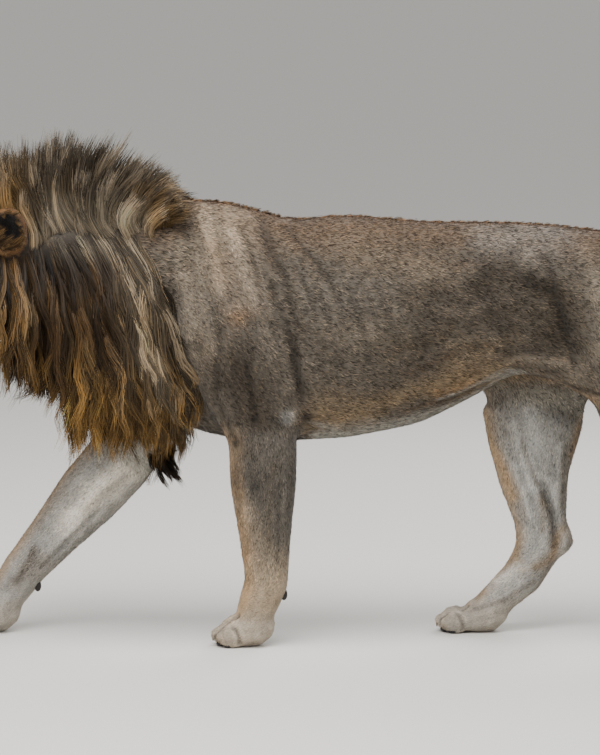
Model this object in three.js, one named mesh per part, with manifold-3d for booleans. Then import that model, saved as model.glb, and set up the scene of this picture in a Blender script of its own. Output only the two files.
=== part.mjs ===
// A male lion, life size, in the middle of a walking step. The solids' surface is the outside of its coat.
// Lengths are in millimetres. +Z is up, -Y is the way the lion faces and +X is its left side.
// The left foreleg carries the chest, the right one has landed in front of it, the right hind leg
// stands under the belly and the left one is about to leave the ground behind the rump.
import * as THREE from "three";
import { mergeVertices } from "three/addons/utils/BufferGeometryUtils.js";
import Module from "manifold-3d";

const wasm = await Module();
wasm.setup();

// Driving dimensions
const withers = 1112; // floor to the top of the shoulders
const backTop = 1074; // floor to the top of the loins
const chestFloor = 495; // floor to the underside of the chest
const noseY = -1068; // tip of the nose
const ribHalfWidth = 182;
const shoulderX = 150; // middle of the trunk to a shoulder joint
const hipX = 112; // middle of the trunk to a hip joint
const trackX = 102; // middle of the trunk to the middle of a paw
const headPitch = THREE.MathUtils.degToRad(17); // nose down
const headBase = new THREE.Vector3(0, noseY + 333, 962); // middle of the back of the skull
const eyeRadius = 19;
const crestTop = 1276; // floor to the standing tips of the mane
const maneHalfWidth = 238;
const maneFloor = 424; // floor to the hanging tips of the chest mane
const chestManeTop = 640; // floor to where the chest mane parts from the hair of the sides
const ruffBack = -716; // where the ruff round the face meets the hair of the sides
const forepawHalfWidth = 63;
const hindpawHalfWidth = 58;
const toeLength = 44; // half of a toe
const foreToeReach = 62; // knuckles to the middle of a middle toe
const hindToeReach = 88;
const gap = 0.4; // clearance between neighbouring pieces
const far = 4000; // longer than the lion, for cutting blocks

const at = (x, y, z) => new THREE.Vector3(x, y, z);
const degrees = THREE.MathUtils.degToRad;
// A ring of a limb: its middle, and its half sizes to the side, and upwards and downwards,
// which on a leg, listed from the top down, are backwards and forwards.
const ring = (x, y, z, side, up, down = up) => ({ at: at(x, y, z), side, up, down });
// A ring of the trunk, neck or mane by the heights of its top, middle and bottom.
const hoop = (y, top, middle, bottom, side) => ring(0, y, middle, side, top - middle, middle - bottom);

const power = (value, exponent) => Math.sign(value) * Math.abs(value) ** exponent;

// A capsule bent along a smooth line through the rings. Square above 2 makes its section boxy.
function limb(rings, { around = 14, along = 8, caps = 3, grow = 0, square = 2, round = 0.8 } = {}) {
  const line = new THREE.CatmullRomCurve3(rings.map((r) => r.at));
  const sizes = new THREE.CatmullRomCurve3(rings.map((r) => at(r.side, r.up, r.down)));
  const shape = new THREE.CapsuleGeometry(1, 1, caps, around, along);
  const spot = new THREE.Vector3();
  const spots = shape.attributes.position;
  for (let i = 0; i < spots.count; i++) {
    spot.fromBufferAttribute(spots, i);
    const share = THREE.MathUtils.clamp(0.5 + spot.y, 0, 1);
    const size = sizes.getPoint(share).addScalar(grow);
    const tangent = line.getTangent(share);
    const side = at(1, 0, 0).addScaledVector(tangent, -tangent.x).normalize();
    const up = side.clone().cross(tangent);
    const turn = Math.atan2(spot.z, spot.x);
    const reach = Math.hypot(spot.x, spot.z);
    const across = power(Math.cos(turn), 2 / square) * reach * size.x;
    const rise = power(Math.sin(turn), 2 / square) * reach * (spot.z > 0 ? size.y : size.z);
    const past = (spot.y + 0.5 - share) * round * 0.5 * (size.x + Math.min(size.y, size.z));
    const place = line.getPoint(share).addScaledVector(side, across);
    place.addScaledVector(up, rise).addScaledVector(tangent, past);
    spots.setXYZ(i, place.x, place.y, place.z);
  }
  return shape;
}

// An ellipsoid of flesh by its middle and half sizes, tilted about X, then leant about Y and turned about Z.
function muscle(middle, [x, y, z], { tilt = 0, lean = 0, turn = 0, around = 12, grow = 0 } = {}) {
  const place = new THREE.Matrix4().compose(
    middle,
    new THREE.Quaternion().setFromEuler(new THREE.Euler(degrees(tilt), degrees(lean), degrees(turn), "ZYX")),
    at(x + grow, y + grow, z + grow),
  );
  return new THREE.SphereGeometry(1, around, Math.round(around * 0.7)).applyMatrix4(place);
}

function solid(geometry) {
  const bare = new THREE.BufferGeometry().setAttribute("position", geometry.attributes.position);
  bare.setIndex(geometry.index);
  const merged = mergeVertices(bare, 1e-3);
  const triVerts = new Uint32Array(merged.index.array);
  return new wasm.Manifold(
    new wasm.Mesh({ numProp: 3, vertProperties: merged.attributes.position.array, triVerts }),
  );
}

const joined = (geometries) => geometries.map(solid).reduce((all, next) => all.add(next));
const largest = (shape) => shape.decompose().sort((a, b) => b.volume() - a.volume())[0];

// The block on the side of a plane that its normal points to, half a gap clear of the plane.
function beyond(point, normal) {
  const block = new THREE.BoxGeometry(far, far, far).translate(0, 0, far / 2 + gap / 2);
  const aim = new THREE.Quaternion().setFromUnitVectors(at(0, 0, 1), normal.clone().normalize());
  return solid(block.applyQuaternion(aim).translate(point.x, point.y, point.z));
}
// Parts a shape by a plane into the piece that the normal points to and the piece behind it.
function parted(shape, point, normal) {
  const pieces = [normal, normal.clone().negate()].map((way) => shape.intersect(beyond(point, way)));
  return pieces.map(largest);
}

const aboveFloor = solid(new THREE.BoxGeometry(far, far, far).translate(0, 0, far / 2));

// Trunk, from the breastbone to the back of the pelvis
function trunkShape(grow = 0) {
  const rings = [
    hoop(-440, withers - 80, 800, chestFloor + 120, 96),
    hoop(-380, withers + 8, 800, chestFloor + 48, 138),
    hoop(-270, withers - 4, 790, chestFloor + 12, 166),
    hoop(-120, backTop - 8, 780, chestFloor - 2, ribHalfWidth - 2),
    hoop(40, backTop + 2, 775, chestFloor + 8, ribHalfWidth + 4),
    hoop(180, backTop, 785, chestFloor + 40, ribHalfWidth),
    hoop(300, backTop - 5, 820, chestFloor + 104, ribHalfWidth - 16),
    hoop(405, backTop - 11, 850, chestFloor + 160, ribHalfWidth - 30),
    hoop(540, backTop - 20, 870, chestFloor + 190, ribHalfWidth - 30),
    hoop(670, backTop - 38, 870, chestFloor + 200, ribHalfWidth - 32),
    hoop(770, backTop - 66, 865, chestFloor + 225, ribHalfWidth - 44),
    hoop(842, backTop - 112, 860, chestFloor + 270, ribHalfWidth - 74),
  ];
  return limb(rings, { around: 16, along: 11, caps: 2, grow, square: 2.2, round: 0.45 });
}

// Neck under the mane, from the skull to the chest
function neckShape(grow = 0) {
  const rings = [
    hoop(headBase.y + 8, 1056, 960, 850, 96),
    hoop(-690, 1086, 950, 778, 116),
    hoop(-570, 1092, 915, 705, 128),
    hoop(-450, 1092, 880, 640, 142),
    hoop(-330, 1090, 850, 600, 150),
  ];
  return limb(rings, { around: 10, along: 4, caps: 1, grow, round: 0.3 });
}

// Head, in its own frame: the skull's base is the origin and the nose points along -Y
const headFrame = new THREE.Matrix4().makeRotationX(headPitch).setPosition(headBase);
const inHead = (geometry) => geometry.applyMatrix4(headFrame);
const headSpot = (x, y, z) => at(x, y, z).applyMatrix4(headFrame);
const sides = { left: 1, right: -1 };
const eyeSpot = (side) => at(side * 58, -197, 38);
const earSpot = (side) => at(side * 120, -34, 92);

function eyeShape(side, grow = 0) {
  return inHead(muscle(eyeSpot(side), Array(3).fill(eyeRadius), { around: 8, grow }));
}

// An ear is a rounded shell with a hollow that faces out to the side and a little forwards.
function earShape(side, grow = 0) {
  const aim = { tilt: -16, lean: side * 8, turn: side * -66, around: 8 };
  const shell = inHead(muscle(earSpot(side), [56, 30, 66], { ...aim, grow }));
  const middle = earSpot(side).add(at(side * 24, -10, 4));
  const hollow = inHead(muscle(middle, [38, 22, 46], { ...aim, around: 7, grow: -grow }));
  return solid(shell).subtract(solid(hollow));
}

function noseShape(grow = 0) {
  return inHead(muscle(at(0, -322, 10), [38, 23, 27], { tilt: 20, around: 8, grow }));
}

function skullShape(grow = 0) {
  const rings = [
    ring(0, -318, -14, 48, 46, 46),
    ring(0, -284, -14, 60, 54, 58),
    ring(0, -226, -8, 62, 62, 64),
    ring(0, -180, 2, 92, 82, 80),
    ring(0, -120, 6, 116, 95, 94),
    ring(0, -60, 6, 121, 97, 94),
    ring(0, 0, 2, 100, 86, 80),
  ];
  const shapes = [limb(rings, { around: 12, along: 6, caps: 1, grow, square: 2.2, round: 0.3 })];
  for (const side of Object.values(sides)) {
    shapes.push(muscle(at(side * 88, -112, -30), [48, 84, 78], { turn: side * 10, around: 7, grow }));
    shapes.push(muscle(at(side * 34, -286, -30), [40, 52, 42], { turn: side * 8, around: 7, grow }));
  }
  return shapes.map(inHead);
}

function jawShape(grow = 0) {
  const rings = [
    ring(0, -298, -82, 42, 34, 34),
    ring(0, -232, -82, 58, 42, 36),
    ring(0, -155, -76, 80, 48, 44),
    ring(0, -90, -62, 84, 50, 50),
  ];
  return inHead(limb(rings, { around: 8, along: 3, caps: 2, grow, square: 2.2 }));
}

// Mane: a crest that stands along the neck, and a skirt that hangs round the head, neck and chest
function crestShape(grow = 0) {
  const rings = [
    ring(0, -884, 1056, 50, 34, 30),
    ring(0, -860, 1074, 74, 140, 50),
    ring(0, -805, 1084, 86, crestTop - 1086, 50),
    ring(0, -700, 1090, 116, crestTop - 1092, 50),
    ring(0, -575, 1090, 120, crestTop - 1106, 50),
    ring(0, -475, 1088, 102, crestTop - 1130, 45),
    ring(0, -405, 1086, 74, crestTop - 1174, 40),
    ring(0, -345, 1086, 40, 30, 30),
  ];
  return limb(rings, { around: 10, along: 7, caps: 1, grow, square: 2.1, round: 0.2 });
}

function skirtShape(grow = 0) {
  const rings = [
    hoop(-866, 1000, 900, 760, maneHalfWidth - 108),
    hoop(-836, 1012, 890, 680, maneHalfWidth - 54),
    hoop(-795, 1018, 880, 600, maneHalfWidth - 20),
    hoop(-750, 1060, 890, 606, maneHalfWidth - 6),
    hoop(-700, 1104, 915, maneFloor + 90, maneHalfWidth),
    hoop(-610, 1108, 915, maneFloor, maneHalfWidth - 2),
    hoop(-490, 1106, 900, maneFloor - 24, maneHalfWidth - 10),
    hoop(-400, 1102, 885, maneFloor - 14, maneHalfWidth - 12),
    hoop(-330, 1098, 870, maneFloor + 50, maneHalfWidth - 14),
  ];
  return limb(rings, { around: 12, along: 8, caps: 1, grow, round: 0.12 });
}

// Forelegs by their joints: the blade's top, the shoulder, elbow, wrist and knuckles
const forelegs = {
  left: {
    side: 1,
    blade: at(78, -232, 1030),
    shoulder: at(shoulderX, -296, 790),
    elbow: at(shoulderX - 14, -158, 540),
    wrist: at(trackX + 6, -158, 160),
    knuckle: at(trackX, -196, 56),
  },
  right: {
    side: -1,
    blade: at(-78, -262, 1026),
    shoulder: at(-shoulderX, -400, 748),
    elbow: at(-shoulderX + 14, -522, 430),
    wrist: at(-trackX - 6, -772, 160),
    knuckle: at(-trackX, -842, 58),
  },
};

const between = (a, b, share) => a.clone().lerp(b, share);
const ringAt = (spot, side, rear, front) => ({ at: spot, side, up: rear, down: front });
// The rearward direction square to a bone that runs from one joint down to the next
const rearOf = (top, end) => at(0, top.z - end.z, end.y - top.y).normalize();

function forelegShape({ side, blade, shoulder, elbow, wrist, knuckle }, grow = 0) {
  const rear = rearOf(shoulder, elbow);
  const rings = [
    ringAt(blade, 34, 66, 74),
    ringAt(between(blade, shoulder, 0.5).add(at(side * 10, 0, 0)), 60, 114, 104),
    ringAt(shoulder, 72, 130, 112),
    ringAt(between(shoulder, elbow, 0.5), 72, 112, 102),
    ringAt(elbow, 61, 84, 104),
    ringAt(between(elbow, wrist, 0.33), 57, 80, 98),
    ringAt(between(elbow, wrist, 0.67), 50, 66, 76),
    ringAt(wrist, 49, 57, 59),
    ringAt(between(wrist, knuckle, 0.5), 51, 52, 54),
    ringAt(knuckle, 53, 42, 46),
  ];
  const triceps = [
    ringAt(between(blade, shoulder, 0.22).addScaledVector(rear, 56), 40, 44, 60),
    ringAt(shoulder.clone().addScaledVector(rear, 100).add(at(0, 8, -50)), 56, 78, 80),
    ringAt(elbow.clone().addScaledVector(rear, 34).add(at(0, 0, 34)), 48, 48, 60),
  ];
  return [
    limb(rings, { around: 10, along: 9, caps: 1, grow, round: 0.3 }),
    limb(triceps, { around: 8, along: 3, caps: 1, grow, round: 0.6 }),
    ...pawShape(knuckle, forepawHalfWidth, foreToeReach, grow),
  ];
}

// Hind legs: hip, knee, hock and knuckles, and from the knee to where the fold of the flank ends
const hindLegs = {
  left: {
    side: 1,
    hip: at(hipX, 730, 862),
    knee: at(hipX + 22, 768, 512),
    hock: at(trackX + 6, 1016, 250),
    knuckle: at(trackX, 946, 54),
    fold: at(0, -20, 84),
  },
  right: {
    side: -1,
    hip: at(-hipX, 715, 850),
    knee: at(-hipX - 26, 470, 592),
    hock: at(-trackX - 2, 540, 224),
    knuckle: at(-trackX, 394, 56),
    fold: at(0, -24, 20),
  },
};

function hindLegShape({ side, hip, knee, hock, knuckle, fold }, grow = 0) {
  const haunch = [
    ringAt(hip.clone().add(at(-side * 36, -10, 120)), 40, 80, 100),
    ringAt(hip.clone().add(at(-side * 6, 0, 20)), 74, 136, 150),
    ringAt(between(hip, knee, 0.45).add(at(side * 4, 20, 0)), 80, 148, 136),
    ringAt(between(hip, knee, 0.8), 70, 122, 106),
    ringAt(knee, 56, 98, 90),
  ];
  const shank = [
    ringAt(between(knee, hock, 0.02), 60, 200, 96),
    ringAt(between(knee, hock, 0.28), 57, 164, 96),
    ringAt(between(knee, hock, 0.56), 47, 106, 88),
    ringAt(between(knee, hock, 0.82), 41, 80, 68),
    ringAt(hock, 42, 70, 72),
  ];
  const heel = hock.clone().addScaledVector(rearOf(knee, hock), 44);
  const instep = [
    ringAt(hock, 40, 58, 68),
    ringAt(between(hock, knuckle, 0.5).add(at(0, 24, 0)), 43, 54, 60),
    ringAt(knuckle, 50, 46, 42),
  ];
  const flank = [
    ringAt(at(side * 84, knee.y - 338, 722), 38, 40, 46),
    ringAt(at(side * 98, knee.y - 170, knee.z + 180), 44, 60, 52),
    ringAt(knee.clone().add(fold), 50, 70, 60),
  ];
  return [
    limb(haunch, { around: 10, along: 4, caps: 2, grow, round: 0.7 }),
    limb(shank, { around: 10, along: 4, caps: 1, grow, round: 0.4 }),
    muscle(heel, [30, 42, 46], { around: 6, grow }),
    limb(instep, { around: 8, along: 2, caps: 1, grow, round: 0.5 }),
    limb(flank, { around: 6, along: 3, caps: 1, grow, round: 0.3 }),
    ...pawShape(knuckle, hindpawHalfWidth, hindToeReach, grow),
  ];
}

// A paw: the pad under the knuckles and four toes that fan out, the middle ones toeReach in front of it
function pawShape(knuckle, wide, toeReach, grow = 0) {
  const shapes = [muscle(knuckle.clone().add(at(0, -6, -14)), [wide, 70, 52], { tilt: 14, around: 7, grow })];
  for (let toe = 0; toe < 4; toe++) {
    const across = (toe - 1.5) / 1.5;
    const reach = toeReach - 20 * across * across;
    const middle = knuckle.clone().add(at(across * wide * 0.62, -reach, 0)).setZ(28);
    shapes.push(muscle(middle, [21, toeLength, 34], { tilt: 10, turn: across * 9, around: 6, grow }));
  }
  return shapes;
}

// Tail: it hangs behind the thighs and lifts a little at its tuft
const tailLine = [
  ring(0, 835, 950, 46, 42),
  ring(0, 905, 912, 38, 36),
  ring(0, 985, 812, 31, 31),
  ring(3, 1050, 680, 27, 27),
  ring(8, 1092, 530, 24, 24),
  ring(14, 1112, 395, 22, 22),
  ring(20, 1136, 300, 24, 24),
];
const tuftLine = [ring(19, 1132, 318, 30, 30), ring(24, 1162, 240, 52, 50), ring(28, 1204, 176, 36, 34)];
const tailShape = (grow = 0) => limb(tailLine, { around: 6, along: 6, caps: 1, grow });
const tuftShape = (grow = 0) => limb(tuftLine, { around: 8, along: 3, caps: 1, grow });

// Colours of the coat and of the bare parts
const looks = {
  coat: { color: 0x83725f, roughness: 0.8 },
  paleCoat: { color: 0xb9ad9b, roughness: 0.8 },
  mane: { color: 0x4c3a27, roughness: 0.75 },
  eye: { color: 0xa8752a, roughness: 0.15 },
  nose: { color: 0x4a3430, roughness: 0.5 },
};

const lion = new THREE.Group();
const pivotMark = new THREE.Vector3();
let place = lion;

// Adds a solid as a named mesh whose own origin is at the joint it hangs from.
function piece(name, shape, pivot, look) {
  const { numProp, numVert, vertProperties, triVerts } = shape.getMesh();
  const spots = new Float32Array(numVert * 3);
  for (let i = 0; i < numVert; i++) spots.set(vertProperties.subarray(i * numProp, i * numProp + 3), i * 3);
  const geometry = new THREE.BufferGeometry().setAttribute("position", new THREE.BufferAttribute(spots, 3));
  geometry.setIndex(new THREE.BufferAttribute(triVerts, 1)).translate(-pivot.x, -pivot.y, -pivot.z);
  geometry.computeVertexNormals();
  const mesh = new THREE.Mesh(geometry, new THREE.MeshStandardMaterial({ metalness: 0, ...looks[look] }));
  mesh.name = name;
  mesh.position.copy(pivot).sub(place.getWorldPosition(pivotMark));
  place.add(mesh);
}

// Pieces added inside fill go into a group of their own.
function group(fill) {
  place = new THREE.Group();
  lion.add(place);
  fill();
  place = lion;
}

const flesh = [];
// Makes a body of the shapes that make(grow) gives, less all the bodies made before it,
// and keeps its shapes grown by the gap for the bodies that follow.
function body(make) {
  const shape = flesh.reduce((left, other) => left.subtract(other), joined([make(0)].flat()));
  flesh.push(joined([make(gap)].flat()));
  return largest(shape);
}

piece("trunk", body(trunkShape), at(0, 0, backTop), "coat");
piece("neck", body(neckShape), at(0, -330, 850), "coat");

group(() => {
  piece("nose", body(noseShape), headSpot(0, -322, 10), "nose");
  for (const [name, side] of Object.entries(sides)) {
    const eye = body((grow) => eyeShape(side, grow));
    piece("eye_" + name, eye, headSpot(...eyeSpot(side)), "eye");
  }
  piece("jaw", body(jawShape), headSpot(0, -90, -62), "coat");
  piece("head", body(skullShape), headBase, "coat");
  for (const [name, side] of Object.entries(sides)) {
    const shape = flesh.reduce((left, other) => left.subtract(other), earShape(side));
    flesh.push(earShape(side, gap));
    piece("ear_" + name, largest(shape), headSpot(...earSpot(side).setZ(76)), "coat");
  }
});

group(() => {
  for (const [name, leg] of Object.entries(forelegs)) {
    const whole = body((grow) => forelegShape(leg, grow)).intersect(aboveFloor);
    const down = leg.wrist.clone().sub(leg.elbow).setX(0);
    const [lower, arm] = parted(whole, leg.elbow.clone().add(at(0, 0, 6)), down);
    const [paw, forearm] = parted(lower, leg.wrist, down);
    piece("upper_foreleg_" + name, arm, leg.shoulder, "coat");
    piece("forearm_" + name, forearm, leg.elbow, "coat");
    piece("forepaw_" + name, paw, leg.wrist, "paleCoat");
  }
});

group(() => {
  const [, , baseEnd, , middleEnd] = tailLine.map((r) => r.at);
  const down = at(0, 0.35, -1);
  const tuft = body(tuftShape);
  const [rest, base] = parted(body(tailShape), baseEnd, down);
  const [end, middle] = parted(rest, middleEnd, down);
  piece("tail_base", base, tailLine[0].at, "coat");
  piece("tail_middle", middle, baseEnd, "coat");
  piece("tail_end", end, middleEnd, "coat");
  piece("tail_tuft", tuft, tuftLine[0].at, "mane");
});

group(() => {
  for (const [name, leg] of Object.entries(hindLegs)) {
    const whole = body((grow) => hindLegShape(leg, grow)).intersect(aboveFloor);
    const ankle = between(leg.knuckle, leg.hock, 0.2);
    const [lower, thigh] = parted(whole, leg.knee, leg.hock.clone().sub(leg.hip).setX(0));
    const [foot, shank] = parted(lower, leg.hock, leg.knuckle.clone().sub(leg.knee).setX(0));
    const [paw, instep] = parted(foot, ankle, leg.knuckle.clone().sub(leg.hock).setX(0));
    piece("thigh_" + name, thigh, leg.hip, "coat");
    piece("shank_" + name, shank, leg.knee, "coat");
    piece("instep_" + name, instep, leg.hock, "paleCoat");
    piece("hindpaw_" + name, paw, leg.knuckle, "paleCoat");
  }
});

group(() => {
  piece("mane_crest", body(crestShape), at(0, -600, 1100), "mane");
  // the mane's back edge slopes down and back over the shoulders
  const [skirt] = parted(body(skirtShape), at(0, -452, withers - 16), at(0, -1, -0.27));
  const [ruff, drape] = parted(skirt, at(0, ruffBack, 0), at(0, -1, 0));
  const chestMiddle = at(0, -520, chestManeTop);
  const [chest, hanging] = parted(drape, chestMiddle, at(0, 0, -1));
  piece("mane_chest", chest, chestMiddle, "mane");
  const halves = { left: at(1, 0, 0), right: at(-1, 0, 0) };
  for (const [name, way] of Object.entries(halves)) {
    piece("mane_ruff_" + name, parted(ruff, at(0, 0, 0), way)[0], at(way.x * 60, -780, 900), "mane");
    piece("mane_side_" + name, parted(hanging, at(0, 0, 0), way)[0], at(way.x * 120, -560, 950), "mane");
  }
});

// The origin is on the floor under the middle of the whole lion.
const outline = new THREE.Box3().setFromObject(lion);
const middle = outline.getCenter(new THREE.Vector3());
lion.position.set(-middle.x, -middle.y, -outline.min.z);

export default lion;
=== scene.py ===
import math

import bmesh
import bpy
import numpy as np
from mathutils import Matrix, Vector
from mathutils.bvhtree import BVHTree


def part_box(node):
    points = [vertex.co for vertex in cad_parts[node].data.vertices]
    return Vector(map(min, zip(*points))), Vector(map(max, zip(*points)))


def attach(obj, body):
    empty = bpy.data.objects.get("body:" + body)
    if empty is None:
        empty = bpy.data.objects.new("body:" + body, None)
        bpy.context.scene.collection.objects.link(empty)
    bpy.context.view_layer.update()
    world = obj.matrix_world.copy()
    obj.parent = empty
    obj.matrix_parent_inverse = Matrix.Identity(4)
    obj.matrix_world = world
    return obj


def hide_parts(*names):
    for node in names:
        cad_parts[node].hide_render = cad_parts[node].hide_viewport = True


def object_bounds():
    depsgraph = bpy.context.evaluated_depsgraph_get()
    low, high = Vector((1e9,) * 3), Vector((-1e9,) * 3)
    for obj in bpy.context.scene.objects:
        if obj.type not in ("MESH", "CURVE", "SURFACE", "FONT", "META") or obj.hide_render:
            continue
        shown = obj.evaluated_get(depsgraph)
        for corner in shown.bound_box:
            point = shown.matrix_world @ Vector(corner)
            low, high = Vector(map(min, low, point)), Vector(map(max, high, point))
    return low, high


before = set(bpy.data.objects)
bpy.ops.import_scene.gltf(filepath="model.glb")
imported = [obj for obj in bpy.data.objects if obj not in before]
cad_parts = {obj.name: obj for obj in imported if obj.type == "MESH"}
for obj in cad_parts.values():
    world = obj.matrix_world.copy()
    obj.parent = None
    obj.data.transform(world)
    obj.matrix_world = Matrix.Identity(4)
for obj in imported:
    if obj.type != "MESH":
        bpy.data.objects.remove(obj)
cadLow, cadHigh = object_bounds()
cadSize = cadHigh - cadLow
mm = 0.001
print("frame loaded, CAD box", [round(v, 3) for v in cadSize])


# places and small helpers

def side(pairs):
    # places in the side plane (y, z), given in hundredths of the model's length and height
    p = np.asarray(pairs, float)
    return np.stack((cadLow.y + cadSize.y * p[..., 0] / 100, cadLow.z + cadSize.z * p[..., 1] / 100), -1)


def boxAt(node, fx, fy, fz):
    low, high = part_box(node)
    return np.array([low[i] + (high[i] - low[i]) * f for i, f in enumerate((fx, fy, fz))])


def centre(node):
    return boxAt(node, 0.5, 0.5, 0.5)


def unit(v):
    return v / np.maximum(np.linalg.norm(v, axis=-1, keepdims=True), 1e-9)


def ease(x, start, end):
    # 0 before start, 1 past end, smooth between
    t = np.clip((x - start) / (end - start), 0, 1)
    return t * t * (3 - 2 * t)


def fade(distance, reach):
    # 1 at the place itself, dying away around it
    return np.exp(-(distance / reach) ** 2)


def through(points, count):
    # a smooth curve through the points
    p = np.asarray(points, float)
    t = np.linspace(0, len(p) - 1, count)
    i = np.minimum(t.astype(int), len(p) - 2)
    f = (t - i).reshape(-1, *([1] * (p.ndim - 1)))
    q = np.concatenate((2 * p[:1] - p[1:2], p, 2 * p[-1:] - p[-2:-1]))
    a, b, c, d = q[i], q[i + 1], q[i + 2], q[i + 3]
    return 0.5 * (2 * b + (c - a) * f + (2 * a - 5 * b + 4 * c - d) * f**2 + (3 * b - 3 * c + d - a) * f**3)


def lineDistance(points, line):
    # each point's distance to a line of straight stretches
    best = np.full(len(points), 1e9)
    for a, b in zip(line[:-1], line[1:]):
        run = b - a
        t = np.clip((points - a) @ run / max(run @ run, 1e-12), 0, 1)
        best = np.minimum(best, np.linalg.norm(points - a - t[:, None] * run, axis=1))
    return best


def nearestOn(tree, points):
    return np.array([tree.find_nearest(Vector(p))[0] for p in points])


def treeOf(points, faces):
    return BVHTree.FromPolygons(points.tolist(), faces.tolist())


def snapped(tree, line, steps=7):
    # a line of straight stretches laid on to a surface
    line = np.asarray(line, float)
    steps = np.linspace(0, 1, steps, endpoint=False)[:, None]
    dense = np.concatenate([a + (b - a) * steps for a, b in zip(line[:-1], line[1:])] + [line[-1:]])
    return nearestOn(tree, dense)


def meshFrom(name, verts, faces):
    # faces is an array with the same number of corners in every row
    mesh = bpy.data.meshes.new(name)
    mesh.vertices.add(len(verts))
    mesh.vertices.foreach_set("co", np.asarray(verts, np.float32).ravel())
    mesh.loops.add(faces.size)
    mesh.loops.foreach_set("vertex_index", faces.astype(np.int32).ravel())
    mesh.polygons.add(len(faces))
    mesh.polygons.foreach_set("loop_start", np.arange(0, faces.size, faces.shape[1], dtype=np.int32))
    mesh.polygons.foreach_set("use_smooth", np.ones(len(faces), bool))
    mesh.update(calc_edges=True)
    return mesh


def addTones(mesh, tones):
    # a colour at each point, which the materials read as "tone"
    colours = np.concatenate((tones, np.ones((len(tones), 1))), axis=1)
    layer = mesh.attributes.new("tone", "FLOAT_COLOR", "POINT")
    layer.data.foreach_set("color", colours.astype(np.float32).ravel())


def newObject(name, data):
    obj = bpy.data.objects.new(name, data)
    bpy.context.scene.collection.objects.link(obj)
    return obj


def piece(name, mesh, material, replaces=()):
    obj = newObject(name, mesh)
    mesh.materials.clear()
    mesh.materials.append(material)
    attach(obj, "root")
    if replaces:
        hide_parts(*replaces)
    return obj


def ball(rows, columns):
    # a unit ball, poles on z: its points and four-cornered faces
    a = np.linspace(0, math.pi, rows)
    b = np.linspace(0, 2 * math.pi, columns, endpoint=False)
    a, b = np.meshgrid(a, b, indexing="ij")
    points = np.stack((np.sin(a) * np.cos(b), np.sin(a) * np.sin(b), np.cos(a)), -1).reshape(-1, 3)
    r, c = np.meshgrid(np.arange(rows - 1), np.arange(columns), indexing="ij")
    n = (c + 1) % columns
    faces = np.stack((r * columns + c, (r + 1) * columns + c, (r + 1) * columns + n, r * columns + n), -1)
    return points, faces.reshape(-1, 4)


def tube(path, radii, around):
    # a round rod along a path, closed by its own narrow ends
    path = np.asarray(path, float)
    run = unit(np.gradient(path, axis=0))
    sideways = unit(np.cross(run, np.array((0.31, 0.22, 0.92))))
    other = np.cross(run, sideways)
    a = np.linspace(0, 2 * math.pi, around, endpoint=False)
    points = path[:, None] + np.asarray(radii)[:, None, None] * (
        np.cos(a)[None, :, None] * sideways[:, None] + np.sin(a)[None, :, None] * other[:, None])
    r, c = np.meshgrid(np.arange(len(path) - 1), np.arange(around), indexing="ij")
    n = (c + 1) % around
    faces = np.stack((r * around + c, r * around + n, (r + 1) * around + n, (r + 1) * around + c), -1)
    return points.reshape(-1, 3), faces.reshape(-1, 4)


def gather(parts):
    # joins (points, faces) pairs into one pair
    points, faces, start = [], [], 0
    for p, f in parts:
        points.append(p)
        faces.append(f + start)
        start += len(p)
    return np.concatenate(points), np.concatenate(faces)


# the skin: one surface over all the flesh

# for each part of the body: smoothing rounds, depth of the coat over the skin in mm,
# length of its tufts in mm, and how thickly they stand beside the other parts
bodyParts = {
    "trunk": (70, 5.0, 15, 7.0),
    "neck": (60, 6.0, 20, 6.0),
    "head": (7, 2.5, 7, 16.0),
    "jaw": (7, 2.5, 7, 16.0),
    "ear": (9, 0.0, 7, 20.0),
    "upper_foreleg": (34, 4.0, 13, 8.0),
    "forearm": (13, 3.0, 11, 10.0),
    "forepaw": (4, 2.0, 7, 14.0),
    "thigh": (40, 4.5, 14, 7.5),
    "shank": (16, 3.5, 12, 9.0),
    "instep": (11, 2.5, 10, 11.0),
    "hindpaw": (4, 2.0, 7, 14.0),
    "tail_base": (14, 4.0, 14, 9.0),
    "tail_middle": (12, 3.0, 12, 10.0),
    "tail_end": (12, 3.0, 12, 10.0),
}


def stemOf(node):
    # the part of the body that a node belongs to, without its side
    return next((part for part in bodyParts if node == part or node.startswith(part + "_")), None)


fleshNodes = sorted(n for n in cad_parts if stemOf(n))
# the eyes and the nose fill their places, so the skin runs behind them without a hole
nodeNames = fleshNodes + ["eye_left", "eye_right", "nose"]
stemNames = np.array([stemOf(n) or "head" for n in nodeNames])
legChains = [
    [f"{part}_{hand}" for part in chain]
    for hand in ("left", "right")
    for chain in (("upper_foreleg", "forearm", "forepaw"), ("thigh", "shank", "instep", "hindpaw"))
]
tailChain = ["tail_base", "tail_middle", "tail_end", "tail_tuft"]
skinPlan = {"voxel": 8.0 * mm, "grow": 1.2 * mm, "rounds": 70, "weld": 0.02 * mm}


def nodeArrays(names, grow):
    points, faces, owner, start = [], [], [], 0
    for index, name in enumerate(names):
        work = bmesh.new()
        work.from_mesh(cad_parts[name].data)
        bmesh.ops.remove_doubles(work, verts=work.verts, dist=skinPlan["weld"])
        bmesh.ops.triangulate(work, faces=work.faces)
        work.normal_update()
        points += [v.co + v.normal * grow for v in work.verts]
        faces += [[v.index + start for v in f.verts] for f in work.faces]
        owner += [index] * len(work.faces)
        start += len(work.verts)
        work.free()
    return np.array(points), np.array(faces), np.array(owner)


def edgesOf(mesh):
    edges = np.zeros(len(mesh.edges) * 2, np.int32)
    mesh.edges.foreach_get("vertices", edges)
    return edges.reshape(-1, 2)


def pointsOf(mesh):
    co = np.zeros(len(mesh.vertices) * 3, np.float32)
    mesh.vertices.foreach_get("co", co)
    return co.reshape(-1, 3).astype(float)


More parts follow.
